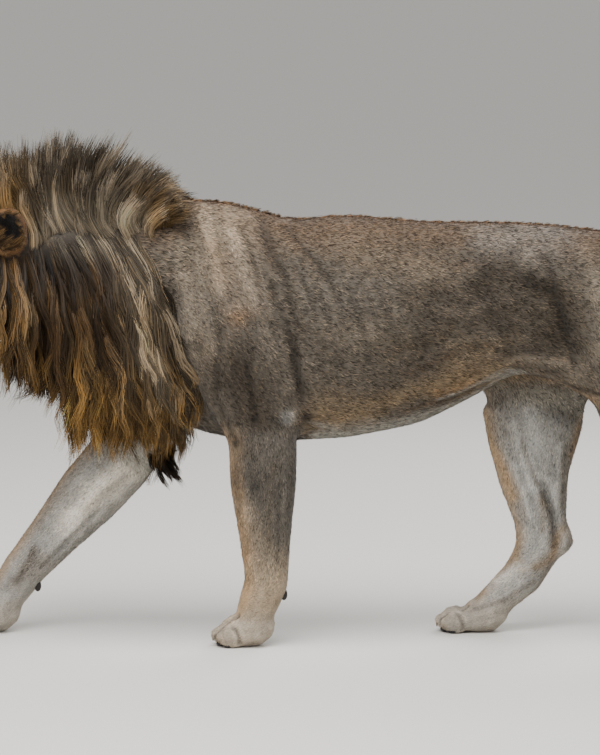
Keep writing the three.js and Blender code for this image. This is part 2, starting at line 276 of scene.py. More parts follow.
def normalsOf(mesh):
    mesh.update()
    n = np.zeros(len(mesh.vertices) * 3, np.float32)
    mesh.vertex_normals.foreach_get("vector", n)
    return n.reshape(-1, 3).astype(float)


def relax(values, edges, rounds, share=0.5):
    # share may differ from point to point
    values = np.array(values, float)
    flat = values.ndim == 1
    if flat:
        values = values[:, None]
    count = len(values)
    degree = np.bincount(edges.ravel(), minlength=count).clip(1)[:, None]
    share = np.broadcast_to(np.asarray(share, float).reshape(-1, 1), (count, 1))
    for _ in range(rounds):
        total = np.stack([
            np.bincount(edges[:, 0], v[edges[:, 1]], count) + np.bincount(edges[:, 1], v[edges[:, 0]], count)
            for v in values.T], -1)
        values += share * (total / degree - values)
    return values[:, 0] if flat else values


def setPoints(mesh, co):
    mesh.vertices.foreach_set("co", np.asarray(co, np.float32).ravel())
    mesh.update()


fleshPoints, fleshFaces, fleshOwner = nodeArrays(nodeNames, skinPlan["grow"])
rough = newObject("rough", meshFrom("rough", fleshPoints, fleshFaces))
remesh = rough.modifiers.new("remesh", "REMESH")
remesh.mode = "VOXEL"
remesh.voxel_size = skinPlan["voxel"]
depsgraph = bpy.context.evaluated_depsgraph_get()
skin = bpy.data.meshes.new_from_object(rough.evaluated_get(depsgraph), depsgraph=depsgraph)
skin.name = "skin"
bpy.data.objects.remove(rough)
fleshTree = treeOf(fleshPoints, fleshFaces)


def partsOf(points):
    # the CAD node that each point is nearest to
    return np.array([fleshOwner[fleshTree.find_nearest(Vector(p))[2]] for p in points])


def partTable(points, edges, column, rounds=6):
    # one column of bodyParts at every point, blended across the borders
    values = np.array([bodyParts[s][column] for s in stemNames], float)
    return relax(values[partsOf(points)], edges, rounds)


co, edges = pointsOf(skin), edgesOf(skin)
rounds = partTable(co, edges, 0, 10)
co = relax(co, edges, skinPlan["rounds"], 0.5 * rounds / skinPlan["rounds"])
setPoints(skin, co)
print("skin remeshed:", len(co), "points")


# the head's own directions: millimetres from the base of the skull, x left, -y to the nose, z up
eyeMid = (centre("eye_left") + centre("eye_right")) / 2
eyeHome = np.array((0, -197.0, 38.0))
noseHome = np.array((0, -322.0, 10.0))
toNose = centre("nose") - eyeMid
pitch = math.atan2(toNose[2], toNose[1]) - math.atan2((noseHome - eyeHome)[2], (noseHome - eyeHome)[1])
headTurn = np.array(Matrix.Rotation(pitch, 3, "X"))


def onHead(points):
    return eyeMid + (np.asarray(points, float) - eyeHome) * mm @ headTurn.T


def fromHead(points):
    return (points - eyeMid) @ headTurn / mm + eyeHome


# millimetres on the head: the eye's place, size and opening, and the way that it looks; the lids
# lie over the ball, and in the opening the skin lies sunk behind its front
eyePlan = {"home": np.array((58.0, -197.0, 38.0)), "radius": 18.5, "look": (0.52, -0.84, 0.12),
           "halfWidth": 17.8, "upper": 9.8, "lower": 8.2, "tilt": 14, "lid": 2.2, "gap": 0.6, "sunk": 3.0,
           "reach": 48, "softReach": 60, "fineReach": 42}


def refine(mesh, mask):
    work = bmesh.new()
    work.from_mesh(mesh)
    work.edges.ensure_lookup_table()
    ends = edgesOf(mesh)
    chosen = np.nonzero(mask[ends].all(axis=1))[0]
    bmesh.ops.subdivide_edges(work, edges=[work.edges[i] for i in chosen], cuts=1, use_grid_fill=True)
    work.to_mesh(mesh)
    work.free()
    mesh.update()


def folded(h):
    # both sides of the head laid on the left one
    return np.stack((np.abs(h[:, 0]), h[:, 1], h[:, 2]), -1)


def faceArea(points):
    # the head that shows in front of the mane, and the ears
    h = fromHead(points)
    ear = (np.abs(h[:, 0]) > 60) & (h[:, 1] > -110) & (h[:, 2] > 70)
    return ((h[:, 1] < -120) & (h[:, 2] > -150)) | ear


def pawArea(points):
    inside = np.zeros(len(points), bool)
    for chain in legChains:
        low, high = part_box(chain[-1])
        inside |= ((points > np.array(low) - 10 * mm) & (points < np.array(high) + 10 * mm)).all(axis=1)
    return inside


def fineArea(points):
    h = fromHead(points)
    eye = np.linalg.norm(folded(h) - eyePlan["home"], axis=1) < eyePlan["fineReach"]
    return eye | (h[:, 1] < -262) | ((h[:, 1] < -185) & (h[:, 2] < -30) & (h[:, 2] > -110))


refine(skin, faceArea(co) | pawArea(co))
co, edges = pointsOf(skin), edgesOf(skin)
refine(skin, fineArea(co) & faceArea(co))
co, edges = pointsOf(skin), edgesOf(skin)
fine = (faceArea(co) | pawArea(co)).astype(float)
co = relax(co, edges, 3, 0.5 * relax(fine, edges, 2))
setPoints(skin, co)
co -= normalsOf(skin) * partTable(co, edges, 1)[:, None] * mm
setPoints(skin, co)
print("skin refined:", len(co), "points")


# modelling strokes: bones, muscles and folds pressed into the skin or raised from it

# each: side of the body (1 left, -1 right, 0 both), places in the side plane, reach in mm, height in mm
bodyStrokes = [
    (1, [(39.1, 84), (40.5, 71.4)], 20, -5),                              # behind the left shoulder blade
    (1, [(40.5, 71.4), (42.1, 59.5), (43.4, 50)], 15, -8),                # behind the upper arm
    (1, [(39.2, 83.6), (41.4, 74.6), (42.8, 62.9), (43.4, 51)], 12, -4),
    (1, [(37.8, 82), (40.0, 74.2), (41.5, 62.8), (42.0, 52)], 15, 5),     # rear edge of both
    (1, [(36.0, 82), (38.2, 69.4), (40.2, 58), (41.4, 48)], 24, 6),       # the muscle in front of it
    (1, [(32.6, 87), (34.6, 70)], 18, 4),                                 # ridge of the shoulder blade
    (1, [(30.6, 84), (31.8, 70), (32.6, 60)], 18, -3),                    # in front of it
    (1, [(34.7, 63.5), (34.2, 49.5), (36.2, 41)], 13, -4),                # front of the upper arm
    (1, [(37.6, 57), (38.4, 46)], 12, -3),                                # between its muscles
    (1, [(42.6, 46.2)], 18, 6),                                           # elbow
    (1, [(37.2, 36), (37.6, 27)], 22, 4),                                 # forearm
    (1, [(41.0, 33), (40.8, 17)], 7, -1.6),                               # along its tendon
    (-1, [(24.5, 84), (27.0, 71), (29.5, 60)], 16, -6),                   # behind the right shoulder
    (-1, [(21.0, 80), (24.0, 68), (26.0, 56)], 24, 5),                    # its muscle
    (-1, [(21.5, 31), (18.5, 25)], 24, 4),                                # right forearm
    (-1, [(21.2, 25), (15.0, 13.5)], 8, -3),                              # along its tendon
    (0, [(45.4, 70), (47.6, 56)], 12, -1.8),                              # between the ribs
    (0, [(48.4, 71), (50.8, 57)], 12, -1.8),
    (0, [(51.4, 72), (54.0, 59)], 12, -1.5),
    (0, [(40.6, 80), (43.2, 74), (45.0, 66)], 7, -1.8),                   # folds of skin behind the shoulder
    (0, [(41.8, 82), (45.0, 76), (47.4, 69)], 7, -1.6),
    (0, [(41.6, 70), (43.6, 62), (44.8, 55)], 6, -1.8),
    (0, [(54.0, 78), (60.0, 76.5), (66.0, 78)], 26, -4),                  # under the loin
    (0, [(56.0, 68), (61.0, 66), (65.0, 69)], 18, 3),                     # flank
    (0, [(66.0, 75), (70.0, 70), (71.6, 63)], 26, -6),                    # hollow before the haunch
    (0, [(73.6, 78), (75.4, 70)], 26, 4),                                 # haunch
    (1, [(30.4, 73), (33.0, 62), (35.4, 55)], 26, 4),                     # front of the left shoulder
    (1, [(38.6, 78), (40.0, 66)], 9, 2.5),                                # its rear edge again
    (0, [(62.5, 70), (65.5, 62), (66.0, 56)], 34, -6),                    # hollow of the flank
    (0, [(59.5, 50.5), (63.5, 54.5), (67.0, 57), (72, 56)], 13, 4),       # fold from belly to thigh
    (1, [(58.0, 48), (63.0, 51.5), (67.1, 53.6), (75.8, 50)], 9, -4),     # under it
    (1, [(69.6, 77), (71.2, 66), (72.5, 56)], 14, -4),                    # front edge of the left thigh
    (0, [(69.3, 85.2)], 22, 5),                                           # hip bone
    (0, [(86.5, 78)], 20, 4),                                             # seat bone
    (1, [(80.5, 74), (83.5, 60), (84.4, 50)], 16, -4),                    # back of the left thigh
    (1, [(76.5, 68), (78.5, 54)], 40, 6),                                 # its great muscle
    (1, [(89.0, 24), (87.4, 34)], 11, -5),                                # before the left heel's tendon
    (1, [(82.6, 39), (85.6, 28)], 18, 3),                                 # left shank
    (-1, [(69.8, 30), (71.0, 24), (71.4, 18)], 12, -6),                   # hollow over the right hock
    (-1, [(66.5, 42), (68.5, 30)], 18, 3),                                # right shank
    (-1, [(70.5, 70), (73.5, 56), (74.5, 48)], 16, -4),                   # along the right thigh
    (0, [(43.6, 44), (46.0, 42.5)], 16, -3),                              # behind the elbow
    (-1, [(74.4, 42), (73.4, 32), (73.6, 24)], 7, -3.5),                  # before the right heel's tendon
    (-1, [(71.8, 38), (71.4, 26)], 9, 2.5),                               # ridge of the right shank
    (-1, [(72.4, 20.5), (71.6, 16.5)], 20, 4),                            # right hock
    (-1, [(66.6, 34), (68.4, 24)], 10, 2.5),                              # right shin
]

strokeGain = 1.25       # on the heights of the body's strokes

# on the head, for both sides at once: places in millimetres, reach and height
mouthLine = [(0, -330, -56), (16, -330, -62), (36, -318, -72), (56, -290, -80), (66, -256, -84),
             (72, -224, -80), (76, -206, -72)]
headStrokes = [
    ([(20, -204, 66), (40, -198, 72), (64, -180, 70), (80, -160, 60)], 12, 6),     # brow
    ([(0, -196, 72), (0, -214, 64)], 22, -3.5),                        # the dip between the eyes
    ([(38, -226, 30), (30, -244, 18)], 8, -5),                         # inner corner of the eye
    ([(44, -226, 10), (68, -202, 8), (86, -172, 18)], 9, -3.5),        # under the eye
    ([(24, -222, 52), (27, -262, 42), (29, -300, 34)], 12, 5.5),       # edge of the nose bridge
    ([(0, -230, 58), (0, -290, 42)], 12, 1.5),
    ([(0, -180, 86), (0, -130, 104)], 9, -3.5),                        # furrow of the forehead
    ([(30, -150, 98), (40, -110, 106)], 22, 3),
    ([(92, -150, 58), (106, -110, 62)], 18, -5),                       # temple
    ([(92, -176, -2), (106, -130, -6)], 22, 6),                        # cheek bone
    ([(40, -316, -18), (58, -292, -30), (62, -268, -36)], 24, 9),      # whisker pad
    ([(24, -326, -42)], 14, 4),
    ([(64, -246, 4), (74, -238, -26), (76, -226, -48)], 10, -5),       # crease behind the pad
    ([(0, -346, -20), (0, -338, -54)], 4.5, -6),                       # under the nose
    (mouthLine, 4.6, -10),
    ([(30, -316, -62), (58, -280, -70), (68, -246, -68)], 9, 4),       # upper lip
    ([(14, -318, -84), (40, -296, -92), (58, -256, -94)], 9, 5),       # lower lip
    ([(0, -312, -104), (22, -300, -106)], 22, 9),                      # chin
    ([(50, -240, -106), (70, -190, -108)], 24, 5),                     # side of the lower jaw
    ([(100, -120, -44)], 36, 2),
]
# gaps at these shares of the paw's half width, and toes between them; places on a toe are
# millimetres back from the front and up, reaches and heights are millimetres
toePlan = {"gaps": (-0.43, 0.0, 0.43), "sides": (-0.98, 0.98), "toes": (-0.66, -0.22, 0.22, 0.66),
           "gapLine": [(0, 8), (8, 40), (46, 66), (66, 78)], "gapReach": 6.2, "gapDepth": -11,
           "sideLine": [(60, 6), (56, 30), (46, 50), (34, 62)], "sideReach": 6.0, "sideDepth": -4.5,
           "knuckleLine": [(30, 64), (44, 70)], "knuckleReach": 11, "knuckle": 6.5,
           "tipLine": [(4, 30)], "tipReach": 10, "tip": 4.5, "back": 4, "round": 14, "darkened": 14}


def atLeastTwo(line):
    line = np.asarray(line, float)
    return line if len(line) > 1 else np.vstack((line, line + 1e-3))


def stroke(points, line, reach, height, mask=1.0):
    return mask * height * fade(lineDistance(points, line), reach)


def trianglesOf(mesh):
    mesh.calc_loop_triangles()
    corners = np.zeros(len(mesh.loop_triangles) * 3, np.int32)
    mesh.loop_triangles.foreach_get("vertices", corners)
    return corners.reshape(-1, 3)


normals = normalsOf(skin)
corners = trianglesOf(skin)
skinTree = treeOf(co, corners)
lift = np.zeros(len(co))
for hand, line, reach, height in bodyStrokes:
    mask = ease(np.abs(normals[:, 0]), 0.1, 0.45) * (ease(co[:, 0] * hand, 0.0, 0.03) if hand else 1.0)
    lift += stroke(co[:, 1:], atLeastTwo(side(line)), reach * mm, height * strokeGain, mask)
head = folded(fromHead(co))
onFace = ease(-head[:, 1], 20, 70) * (head[:, 2] > -160)
for line, reach, height in headStrokes:
    lift += stroke(head, fromHead(snapped(skinTree, onHead(atLeastTwo(line)))), reach, height, onFace)

# the toes: gaps between them, knuckles and tips
pawFronts = {}
toeGaps = []
for chain in legChains:
    paw = chain[-1]
    low, high = (np.array(v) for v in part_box(paw))
    mid = (low[0] + high[0]) / 2
    wide = (high[0] - low[0]) / 2
    pawFronts[paw] = (mid, low[1], wide)

    def toeLine(across, stretches):
        back = toePlan["back"] * mm + toePlan["round"] * mm * across * across
        line = [(mid + across * wide, low[1] + back + y * mm, z * mm) for y, z in stretches]
        return snapped(skinTree, atLeastTwo(line))

    for kind, places in (("gap", toePlan["gaps"]), ("side", toePlan["sides"])):
        for across in places:
            line = toeLine(across, toePlan[kind + "Line"])
            toeGaps.append(line[:toePlan["darkened"]])
            lift += stroke(co, line, toePlan[kind + "Reach"] * mm, toePlan[kind + "Depth"])
    for across in toePlan["toes"]:
        for kind in ("knuckle", "tip"):
            line = toeLine(across, toePlan[kind + "Line"])
            lift += stroke(co, line, toePlan[kind + "Reach"] * mm, toePlan[kind])
co += normals * lift[:, None] * mm
setPoints(skin, co)


# the lids: the skin is draped over each eyeball and left open in an almond

def eyeAxes():
    look = unit(np.array(eyePlan["look"]))
    across = unit(np.cross(look, (0, 0, -1.0)))      # to the outer corner
    across = across if across[0] > 0 else -across
    up = np.cross(across, look)
    up = up if up[2] > 0 else -up
    a = math.radians(eyePlan["tilt"])
    return look, across * math.cos(a) + up * math.sin(a), up * math.cos(a) - across * math.sin(a)


def almond(u, v):
    # above 0 inside the eye's opening, 1 in its middle
    high = np.where(v > 0, eyePlan["upper"], eyePlan["lower"])
    return 1 - (np.abs(u) / eyePlan["halfWidth"]) ** 2.2 - (np.abs(v) / high) ** 1.7


look, across, up = eyeAxes()
head = folded(fromHead(co))
rel = head - eyePlan["home"]
far = np.linalg.norm(rel, axis=1)
u, v, w = rel @ across, rel @ up, rel @ look
inside = almond(u, v)
near = (far < eyePlan["reach"]) & (w > -4)
opening = near & (inside > 0)
drape = near & ~opening
target = far.copy()
target[opening] = eyePlan["radius"] - eyePlan["sunk"]
lidReach = eyePlan["radius"] + eyePlan["lid"] * (1 - ease(-inside, 0.0, 3.0)) + eyePlan["gap"]
target[drape] = np.maximum(far, lidReach)[drape]
# the lid comes down to the ball where the skin stood further out
close = drape & (inside > -1.6)
pull = (1 - ease(-inside, 0.0, 1.6))[close]
target[close] = target[close] * (1 - pull) + lidReach[close] * pull
moved = eyePlan["home"] + unit(rel) * target[:, None]
moved[:, 0] *= np.sign(fromHead(co)[:, 0])
co = np.where(near[:, None], onHead(moved), co)
setPoints(skin, co)
edges = edgesOf(skin)
soft = (far < eyePlan["softReach"]) & (w > -8) & ~opening & (inside < -0.9)
co = relax(co, edges, 9, np.where(soft, 0.5, 0.0))
# and back off the ball where the smoothing drew it in
rel = folded(fromHead(co)) - eyePlan["home"]
push = np.maximum(np.linalg.norm(rel, axis=1), eyePlan["radius"] + eyePlan["lid"])
moved = eyePlan["home"] + unit(rel) * push[:, None]
moved[:, 0] *= np.sign(co[:, 0])
co = np.where((drape & ~close)[:, None], onHead(moved), co)
setPoints(skin, co)
normals = normalsOf(skin)
skinTree = treeOf(co, corners)
lipLine = fromHead(snapped(skinTree, onHead(mouthLine)))
# four rows of whiskers on each pad
whiskerRoots = fromHead(snapped(skinTree, onHead([
    (44 + 7 * row, -322 + 15 * k, -14 - 12 * row) for row in range(4) for k in range(5)]), 1))
print("skin modelled")


# materials

class Wire:
    # one output of a shader node, used in plain arithmetic
    def __init__(self, paint, socket):
        self.paint = paint
        self.socket = socket

    def __add__(self, other):
        return self.paint.sum("ADD", self, other)

    def __radd__(self, other):
        return self.paint.sum("ADD", other, self)

    def __sub__(self, other):
        return self.paint.sum("SUBTRACT", self, other)

    def __rsub__(self, other):
        return self.paint.sum("SUBTRACT", other, self)

    def __mul__(self, other):
        return self.paint.sum("MULTIPLY", self, other)

    def __rmul__(self, other):
        return self.paint.sum("MULTIPLY", other, self)

    def __truediv__(self, other):
        return self.paint.sum("DIVIDE", self, other)

    def __pow__(self, other):
        return self.paint.sum("POWER", self, other)


class Paint:
    # one material and its nodes
    def __init__(self, name):
        self.material = bpy.data.materials.new(name)
        self.material.use_nodes = True
        self.tree = self.material.node_tree
        self.tree.nodes.clear()

    def node(self, kind, settings=None, inputs=None, out=0):
        made = self.tree.nodes.new(kind)
        for key, value in (settings or {}).items():
            if key == "stops":
                ramp = made.color_ramp
                while len(ramp.elements) < len(value):
                    ramp.elements.new(0.5)
                for element, (at, tone) in zip(ramp.elements, value):
                    element.position = at
                    element.color = (*tone, 1)
            else:
                setattr(made, key, value)
        for key, value in (inputs or {}).items():
            if isinstance(value, Wire):
                self.tree.links.new(value.socket, made.inputs[key])
            else:
                made.inputs[key].default_value = value
        return Wire(self, made.outputs[out]) if made.outputs else made

    def sum(self, operation, a, b):
        return self.node("ShaderNodeMath", {"operation": operation}, {0: a, 1: b})

    def step(self, value, start, end):
        # 0 below start, 1 above end
        return self.node("ShaderNodeMapRange", {"interpolation_type": "SMOOTHSTEP"},
                         {"Value": value, "From Min": start, "From Max": end})

    def mix(self, factor, a, b, blend="MIX"):
        a, b = ((*c, 1) if isinstance(c, tuple) and len(c) == 3 else c for c in (a, b))
        return self.node("ShaderNodeMix", {"data_type": "RGBA", "blend_type": blend},
                         {0: factor, 6: a, 7: b}, 2)

    def tone(self):
        return self.node("ShaderNodeAttribute", {"attribute_name": "tone"})

    def place(self):
        return self.node("ShaderNodeTexCoord", out="Object")

    def stretched(self, scale):
        return self.node("ShaderNodeVectorMath", {"operation": "MULTIPLY"}, {0: self.place(), 1: scale})

    def noise(self, vector, scale, detail):
        return self.node("ShaderNodeTexNoise", {}, {"Vector": vector, "Scale": scale, "Detail": detail})

    def bump(self, height, strength, distance):
        return self.node("ShaderNodeBump", {}, {"Height": height, "Strength": strength, "Distance": distance})

    def finish(self, inputs):
        shader = self.node("ShaderNodeBsdfPrincipled", {}, inputs)
        self.node("ShaderNodeOutputMaterial", {}, {"Surface": shader})
        return self.material


def srgb(r, g, b):
    # a colour given as it looks, 0 to 255, as light
    return tuple(c / 12.92 / 255 if c <= 10 else ((c / 255 + 0.055) / 1.055) ** 2.4 for c in (r, g, b))


def skinMaterial():
    p = Paint("coatSkin")
    hair = p.noise(p.stretched((1.0, 0.32, 0.7)), 520.0, 4.0)
    patch = p.noise(p.place(), 26.0, 3.0)
    shade = 0.35 + 1.0 * hair + 0.2 * patch
    grey = p.node("ShaderNodeCombineColor", {}, {0: shade, 1: shade, 2: shade})
    return p.finish({"Base Color": p.mix(1.0, p.tone(), grey, "MULTIPLY"), "Roughness": 0.84,
                     "Normal": p.bump(hair + 0.6 * patch, 0.5, 1.6 * mm), "Specular IOR Level": 0.25,
                     "Sheen Weight": 0.12, "Sheen Roughness": 0.5})


def tuftMaterial(name, roughness, sheen):
    # the colour comes with the hair's points
    p = Paint(name)
    grain = p.noise(p.place(), 90.0, 2.0)
    shade = 0.9 + 0.2 * grain
    grey = p.node("ShaderNodeCombineColor", {}, {0: shade, 1: shade, 2: shade})
    return p.finish({"Base Color": p.mix(1.0, p.tone(), grey, "MULTIPLY"),
                     "Roughness": roughness, "Specular IOR Level": 0.1,
                     "Sheen Weight": sheen, "Sheen Roughness": 0.4})


# markings, painted shade and painted highlights: the same for the skin and for the coat over it

coatTones = {
    "flank": srgb(80, 74, 67), "back": srgb(94, 77, 62), "spine": srgb(92, 66, 46),
    "underside": srgb(150, 149, 144), "thigh": srgb(82, 75, 66), "foreleg": srgb(82, 77, 70),
    "legFront": srgb(156, 128, 95), "lowerLeg": srgb(166, 147, 122), "inside": srgb(158, 156, 150),
    "legBack": srgb(118, 114, 106), "thighInside": srgb(122, 119, 112), "toeGap": srgb(52, 42, 35),
    "hock": srgb(120, 104, 88), "foot": srgb(162, 152, 138), "tail": srgb(104, 89, 70),
    "face": srgb(138, 108, 78), "muzzle": srgb(194, 181, 160), "chin": srgb(206, 200, 187),
    "brow": srgb(160, 134, 100), "bridge": srgb(142, 106, 72), "bridgeTop": srgb(108, 80, 56),
    "dark": srgb(26, 20, 17), "earBack": srgb(44, 36, 31), "earInside": srgb(16, 12, 9),
    # the tone for the skin under the mane is painted shade
    "earRim": srgb(106, 76, 46), "underManeShade": srgb(34, 26, 19), "parting": srgb(122, 118, 112),
}

# each: side (1 left, -1 right, 0 both, -2 the inner side of the right leg),
# places in the side plane, reach in mm, colour, strength; some rows are painted shade or painted highlight,
# noted above them
coatPatchesAndPaintedLight = [
    (0, [(46.0, 69.0), (57.3, 71.4)], 60, srgb(86, 81, 76), 0.4),
    (0, [(63.9, 80.0), (70.4, 82.0)], 55, srgb(114, 108, 103), 0.75),
    # painted shade in the hollow before the left haunch
    (1, [(64.0, 73.4), (69.4, 70.0), (71.0, 63.0)], 56, srgb(33, 28, 22), 0.8),
    # a broad, faint spread of the same painted shade
    (1, [(55.0, 67.0), (70.0, 65.0)], 80, srgb(64, 58, 50), 0.35),
    (1, [(55.0, 70.0), (62.0, 70.0)], 26, srgb(62, 55, 46), 0.35),
    # painted shadow of the left thigh on the top of the right leg
    (-2, [(62.0, 51.5), (69.0, 51.0), (76.0, 47.5)], 20, srgb(50, 42, 34), 0.75),
    # the same painted shade before the right haunch, weaker
    (-1, [(66.0, 74.0), (71.0, 68.4), (71.5, 62)], 54, srgb(44, 39, 34), 0.5),
    (1, [(30.0, 78.0), (32.0, 68.0), (34.0, 60.0)], 50, srgb(122, 112, 100), 0.55),
    (1, [(33.5, 79.0), (35.0, 73.0)], 26, srgb(154, 132, 108), 0.4),
    (1, [(50.0, 77.0), (58.0, 73.0)], 44, srgb(104, 92, 78), 0.35),
    (1, [(47.0, 63.0), (54.0, 61.0)], 34, srgb(112, 103, 92), 0.4),
    (1, [(60.0, 58.5), (66.0, 61.0)], 20, srgb(112, 100, 84), 0.35),
    (1, [(77.0, 60.0), (80.0, 74.0)], 50, srgb(116, 108, 96), 0.4),
    (0, [(58.0, 66.0), (64.0, 68.0)], 40, srgb(66, 60, 54), 0.5),
    (0, [(53.0, 60.5), (60.0, 62.0)], 34, srgb(62, 54, 44), 0.6),
    (0, [(75.0, 72.0), (79.0, 66.0)], 60, srgb(118, 109, 98), 0.6),
    # painted highlight down the left shoulder blade
    (1, [(34.1, 83.4), (36.2, 79.4)], 46, srgb(148, 134, 118), 0.7),
    (1, [(35.6, 76.4), (36.7, 68.4)], 40, srgb(124, 112, 100), 0.6),
    (-1, [(27.0, 82.4), (28.0, 71.4)], 60, srgb(146, 133, 118), 0.7),
    (1, [(36.9, 66.2)], 24, srgb(112, 84, 56), 0.5),
    (1, [(35.0, 64.0), (37.5, 60.0)], 40, srgb(66, 60, 54), 0.45),
    # partly the coat's darker hair, partly painted shade behind the upper arm
    (1, [(36.0, 57.0), (38.6, 50.0), (39.6, 44)], 54, srgb(44, 38, 31), 0.8),
    (-1, [(27.0, 57.0), (24.0, 48.0)], 54, srgb(70, 62, 54), 0.7),
    # painted highlight on the left elbow
    (1, [(42.3, 46.5)], 22, srgb(128, 132, 135), 0.7),
    (0, [(44.3, 45.5), (51.9, 47.5), (59.5, 52.8), (64.9, 55.1)], 42, srgb(110, 96, 78), 0.8),
    (0, [(58.0, 50.0), (62.0, 53.0)], 20, srgb(112, 90, 66), 0.5),
    (0, [(43.8, 41.8), (47.6, 42.2), (51.9, 43.7), (57.3, 47.5), (61.7, 52.0)], 7, srgb(84, 66, 48), 0.6),
    # painted shade in the creases behind the left shoulder and upper arm, and in a fold of skin
    (1, [(39.2, 83.6), (41.4, 74.6), (42.8, 62.9)], 16, srgb(56, 49, 41), 0.3),
    (1, [(41.8, 82), (45.0, 76), (47.4, 69)], 8, srgb(62, 55, 47), 0.35),
    (1, [(41.4, 65.4), (42.4, 57.5), (43.6, 49)], 8, srgb(34, 28, 23), 0.55),
    # painted shade in the crease behind the left elbow, where the leg meets the body
    (1, [(43.9, 46.5)], 15, srgb(34, 28, 24), 0.9),
    (0, [(63.6, 60.1), (58.0, 57.0), (54.1, 54.8)], 11, srgb(54, 44, 35), 0.6),
    # painted highlight along the lower edge of the thighs
    (0, [(63.8, 53.2), (69.3, 52.4), (75.8, 48.5)], 14, srgb(126, 106, 84), 0.5),
    (1, [(76.5, 66.0), (82.0, 56.0)], 60, srgb(106, 99, 91), 0.6),
]

# the same on the lower legs, painted shade and painted light among them
legPatchesAndPaintedLight = [
    (1, [(36.0, 43.0), (37.0, 36.0)], 34, srgb(68, 63, 56), 0.6),
    (1, [(37.0, 29.0), (38.8, 14.0)], 22, srgb(148, 132, 112), 0.35),
    # painted light on the inner side of the right forearm, where the body shades it
    (-2, [(25.6, 34.0), (18.5, 24.0)], 44, srgb(240, 230, 214), 0.92),
    (-2, [(14.5, 14.5), (11.0, 9.0)], 32, srgb(118, 110, 100), 0.6),
    (-2, [(64.0, 47.0), (72.0, 44.0)], 52, srgb(98, 95, 90), 0.6),
    (-2, [(74.8, 44.0), (73.2, 34.0)], 18, srgb(96, 82, 66), 0.6),
    (-2, [(62.3, 49.0), (63.6, 40.0), (65.0, 33.0), (66.2, 28.0)], 17, srgb(176, 148, 114), 0.8),
    (-2, [(68.0, 46.0), (68.6, 38.0), (68.4, 30.0)], 26, srgb(186, 184, 178), 0.6),
    # painted shadow under the left thigh, on the right leg's top
    (-2, [(71.2, 47.5), (73.0, 45.0)], 24, srgb(66, 58, 48), 0.6),
    (-2, [(74.6, 44.0), (73.0, 36.0)], 14, srgb(128, 104, 74), 0.5),
    # the same painted shadow of the left thigh
    (-2, [(62.0, 50.5), (69.0, 50.0), (76.0, 47.0)], 20, srgb(50, 42, 34), 0.75),
    # painted shade in the hollow over the right hock
    (-2, [(69.6, 28.0), (70.8, 22.0), (71.2, 16.5)], 13, srgb(62, 50, 38), 0.6),
    (-2, [(67.4, 39.0), (69.0, 30.0)], 7, srgb(96, 88, 78), 0.6),
    (-2, [(69.6, 26.5), (69.8, 21.0)], 8, srgb(108, 90, 66), 0.5),
    (-2, [(72.0, 20.5), (71.0, 16.0), (69.5, 13.4)], 14, srgb(124, 102, 76), 0.7),
    (-2, [(66.8, 21.0), (68.0, 13.0)], 10, srgb(150, 128, 98), 0.6),
    (-2, [(64.0, 9.5), (68.0, 13.5)], 13, srgb(196, 190, 180), 0.7),
    (-2, [(62.5, 5.0), (66.0, 7.0), (69.0, 10.0)], 7, srgb(92, 84, 76), 0.5),
    (-2, [(18.0, 34.0), (13.0, 24.0), (11.0, 18.0)], 13, srgb(174, 144, 106), 0.8),
    (-2, [(24.0, 31.0), (20.0, 25.0)], 12, srgb(150, 138, 120), 0.5),
    (-2, [(14.0, 17.0), (12.0, 11.0)], 15, srgb(74, 64, 54), 0.7),
    (1, [(32.0, 42.0), (33.8, 30.0), (35.2, 20.0)], 13, srgb(150, 120, 84), 0.7),
    (1, [(40.2, 38.0), (39.4, 20.0)], 12, srgb(76, 68, 57), 0.6),
    (1, [(35.8, 16.0), (37.6, 11.0)], 20, srgb(172, 142, 104), 0.5),
]


# on the head, for both sides at once: place and reach in mm, strength, colour
faceSpots = [
    ((0, -250, 60), (24, 70, 40), 0.7, "bridge"),
    ((40, -200, 84), (22, 22, 16), 0.8, "brow"),
    ((48, -292, -40), (40, 48, 34), 0.95, "muzzle"),
    ((66, -208, 0), (24, 24, 13), 0.7, "muzzle"),
    ((80, -200, -50), (34, 60, 34), 0.6, "muzzle"),
    ((0, -300, -104), (44, 60, 26), 0.95, "chin"),
    ((36, -230, 24), (8, 18, 8), 0.9, "dark"),
    ((0, -262, 52), (16, 60, 20), 0.35, "bridgeTop"),
]


def wobble(points, size, seed):
    # a soft random field between about -1 and 1, with lumps of the given size
    rng = np.random.default_rng(seed)
    waves = unit(rng.normal(size=(14, 3))) * rng.uniform(0.6, 1.6, (14, 1)) * math.pi / size
    return np.sin(points @ waves.T + rng.uniform(0, 2 * math.pi, 14)).sum(1) / 3.6


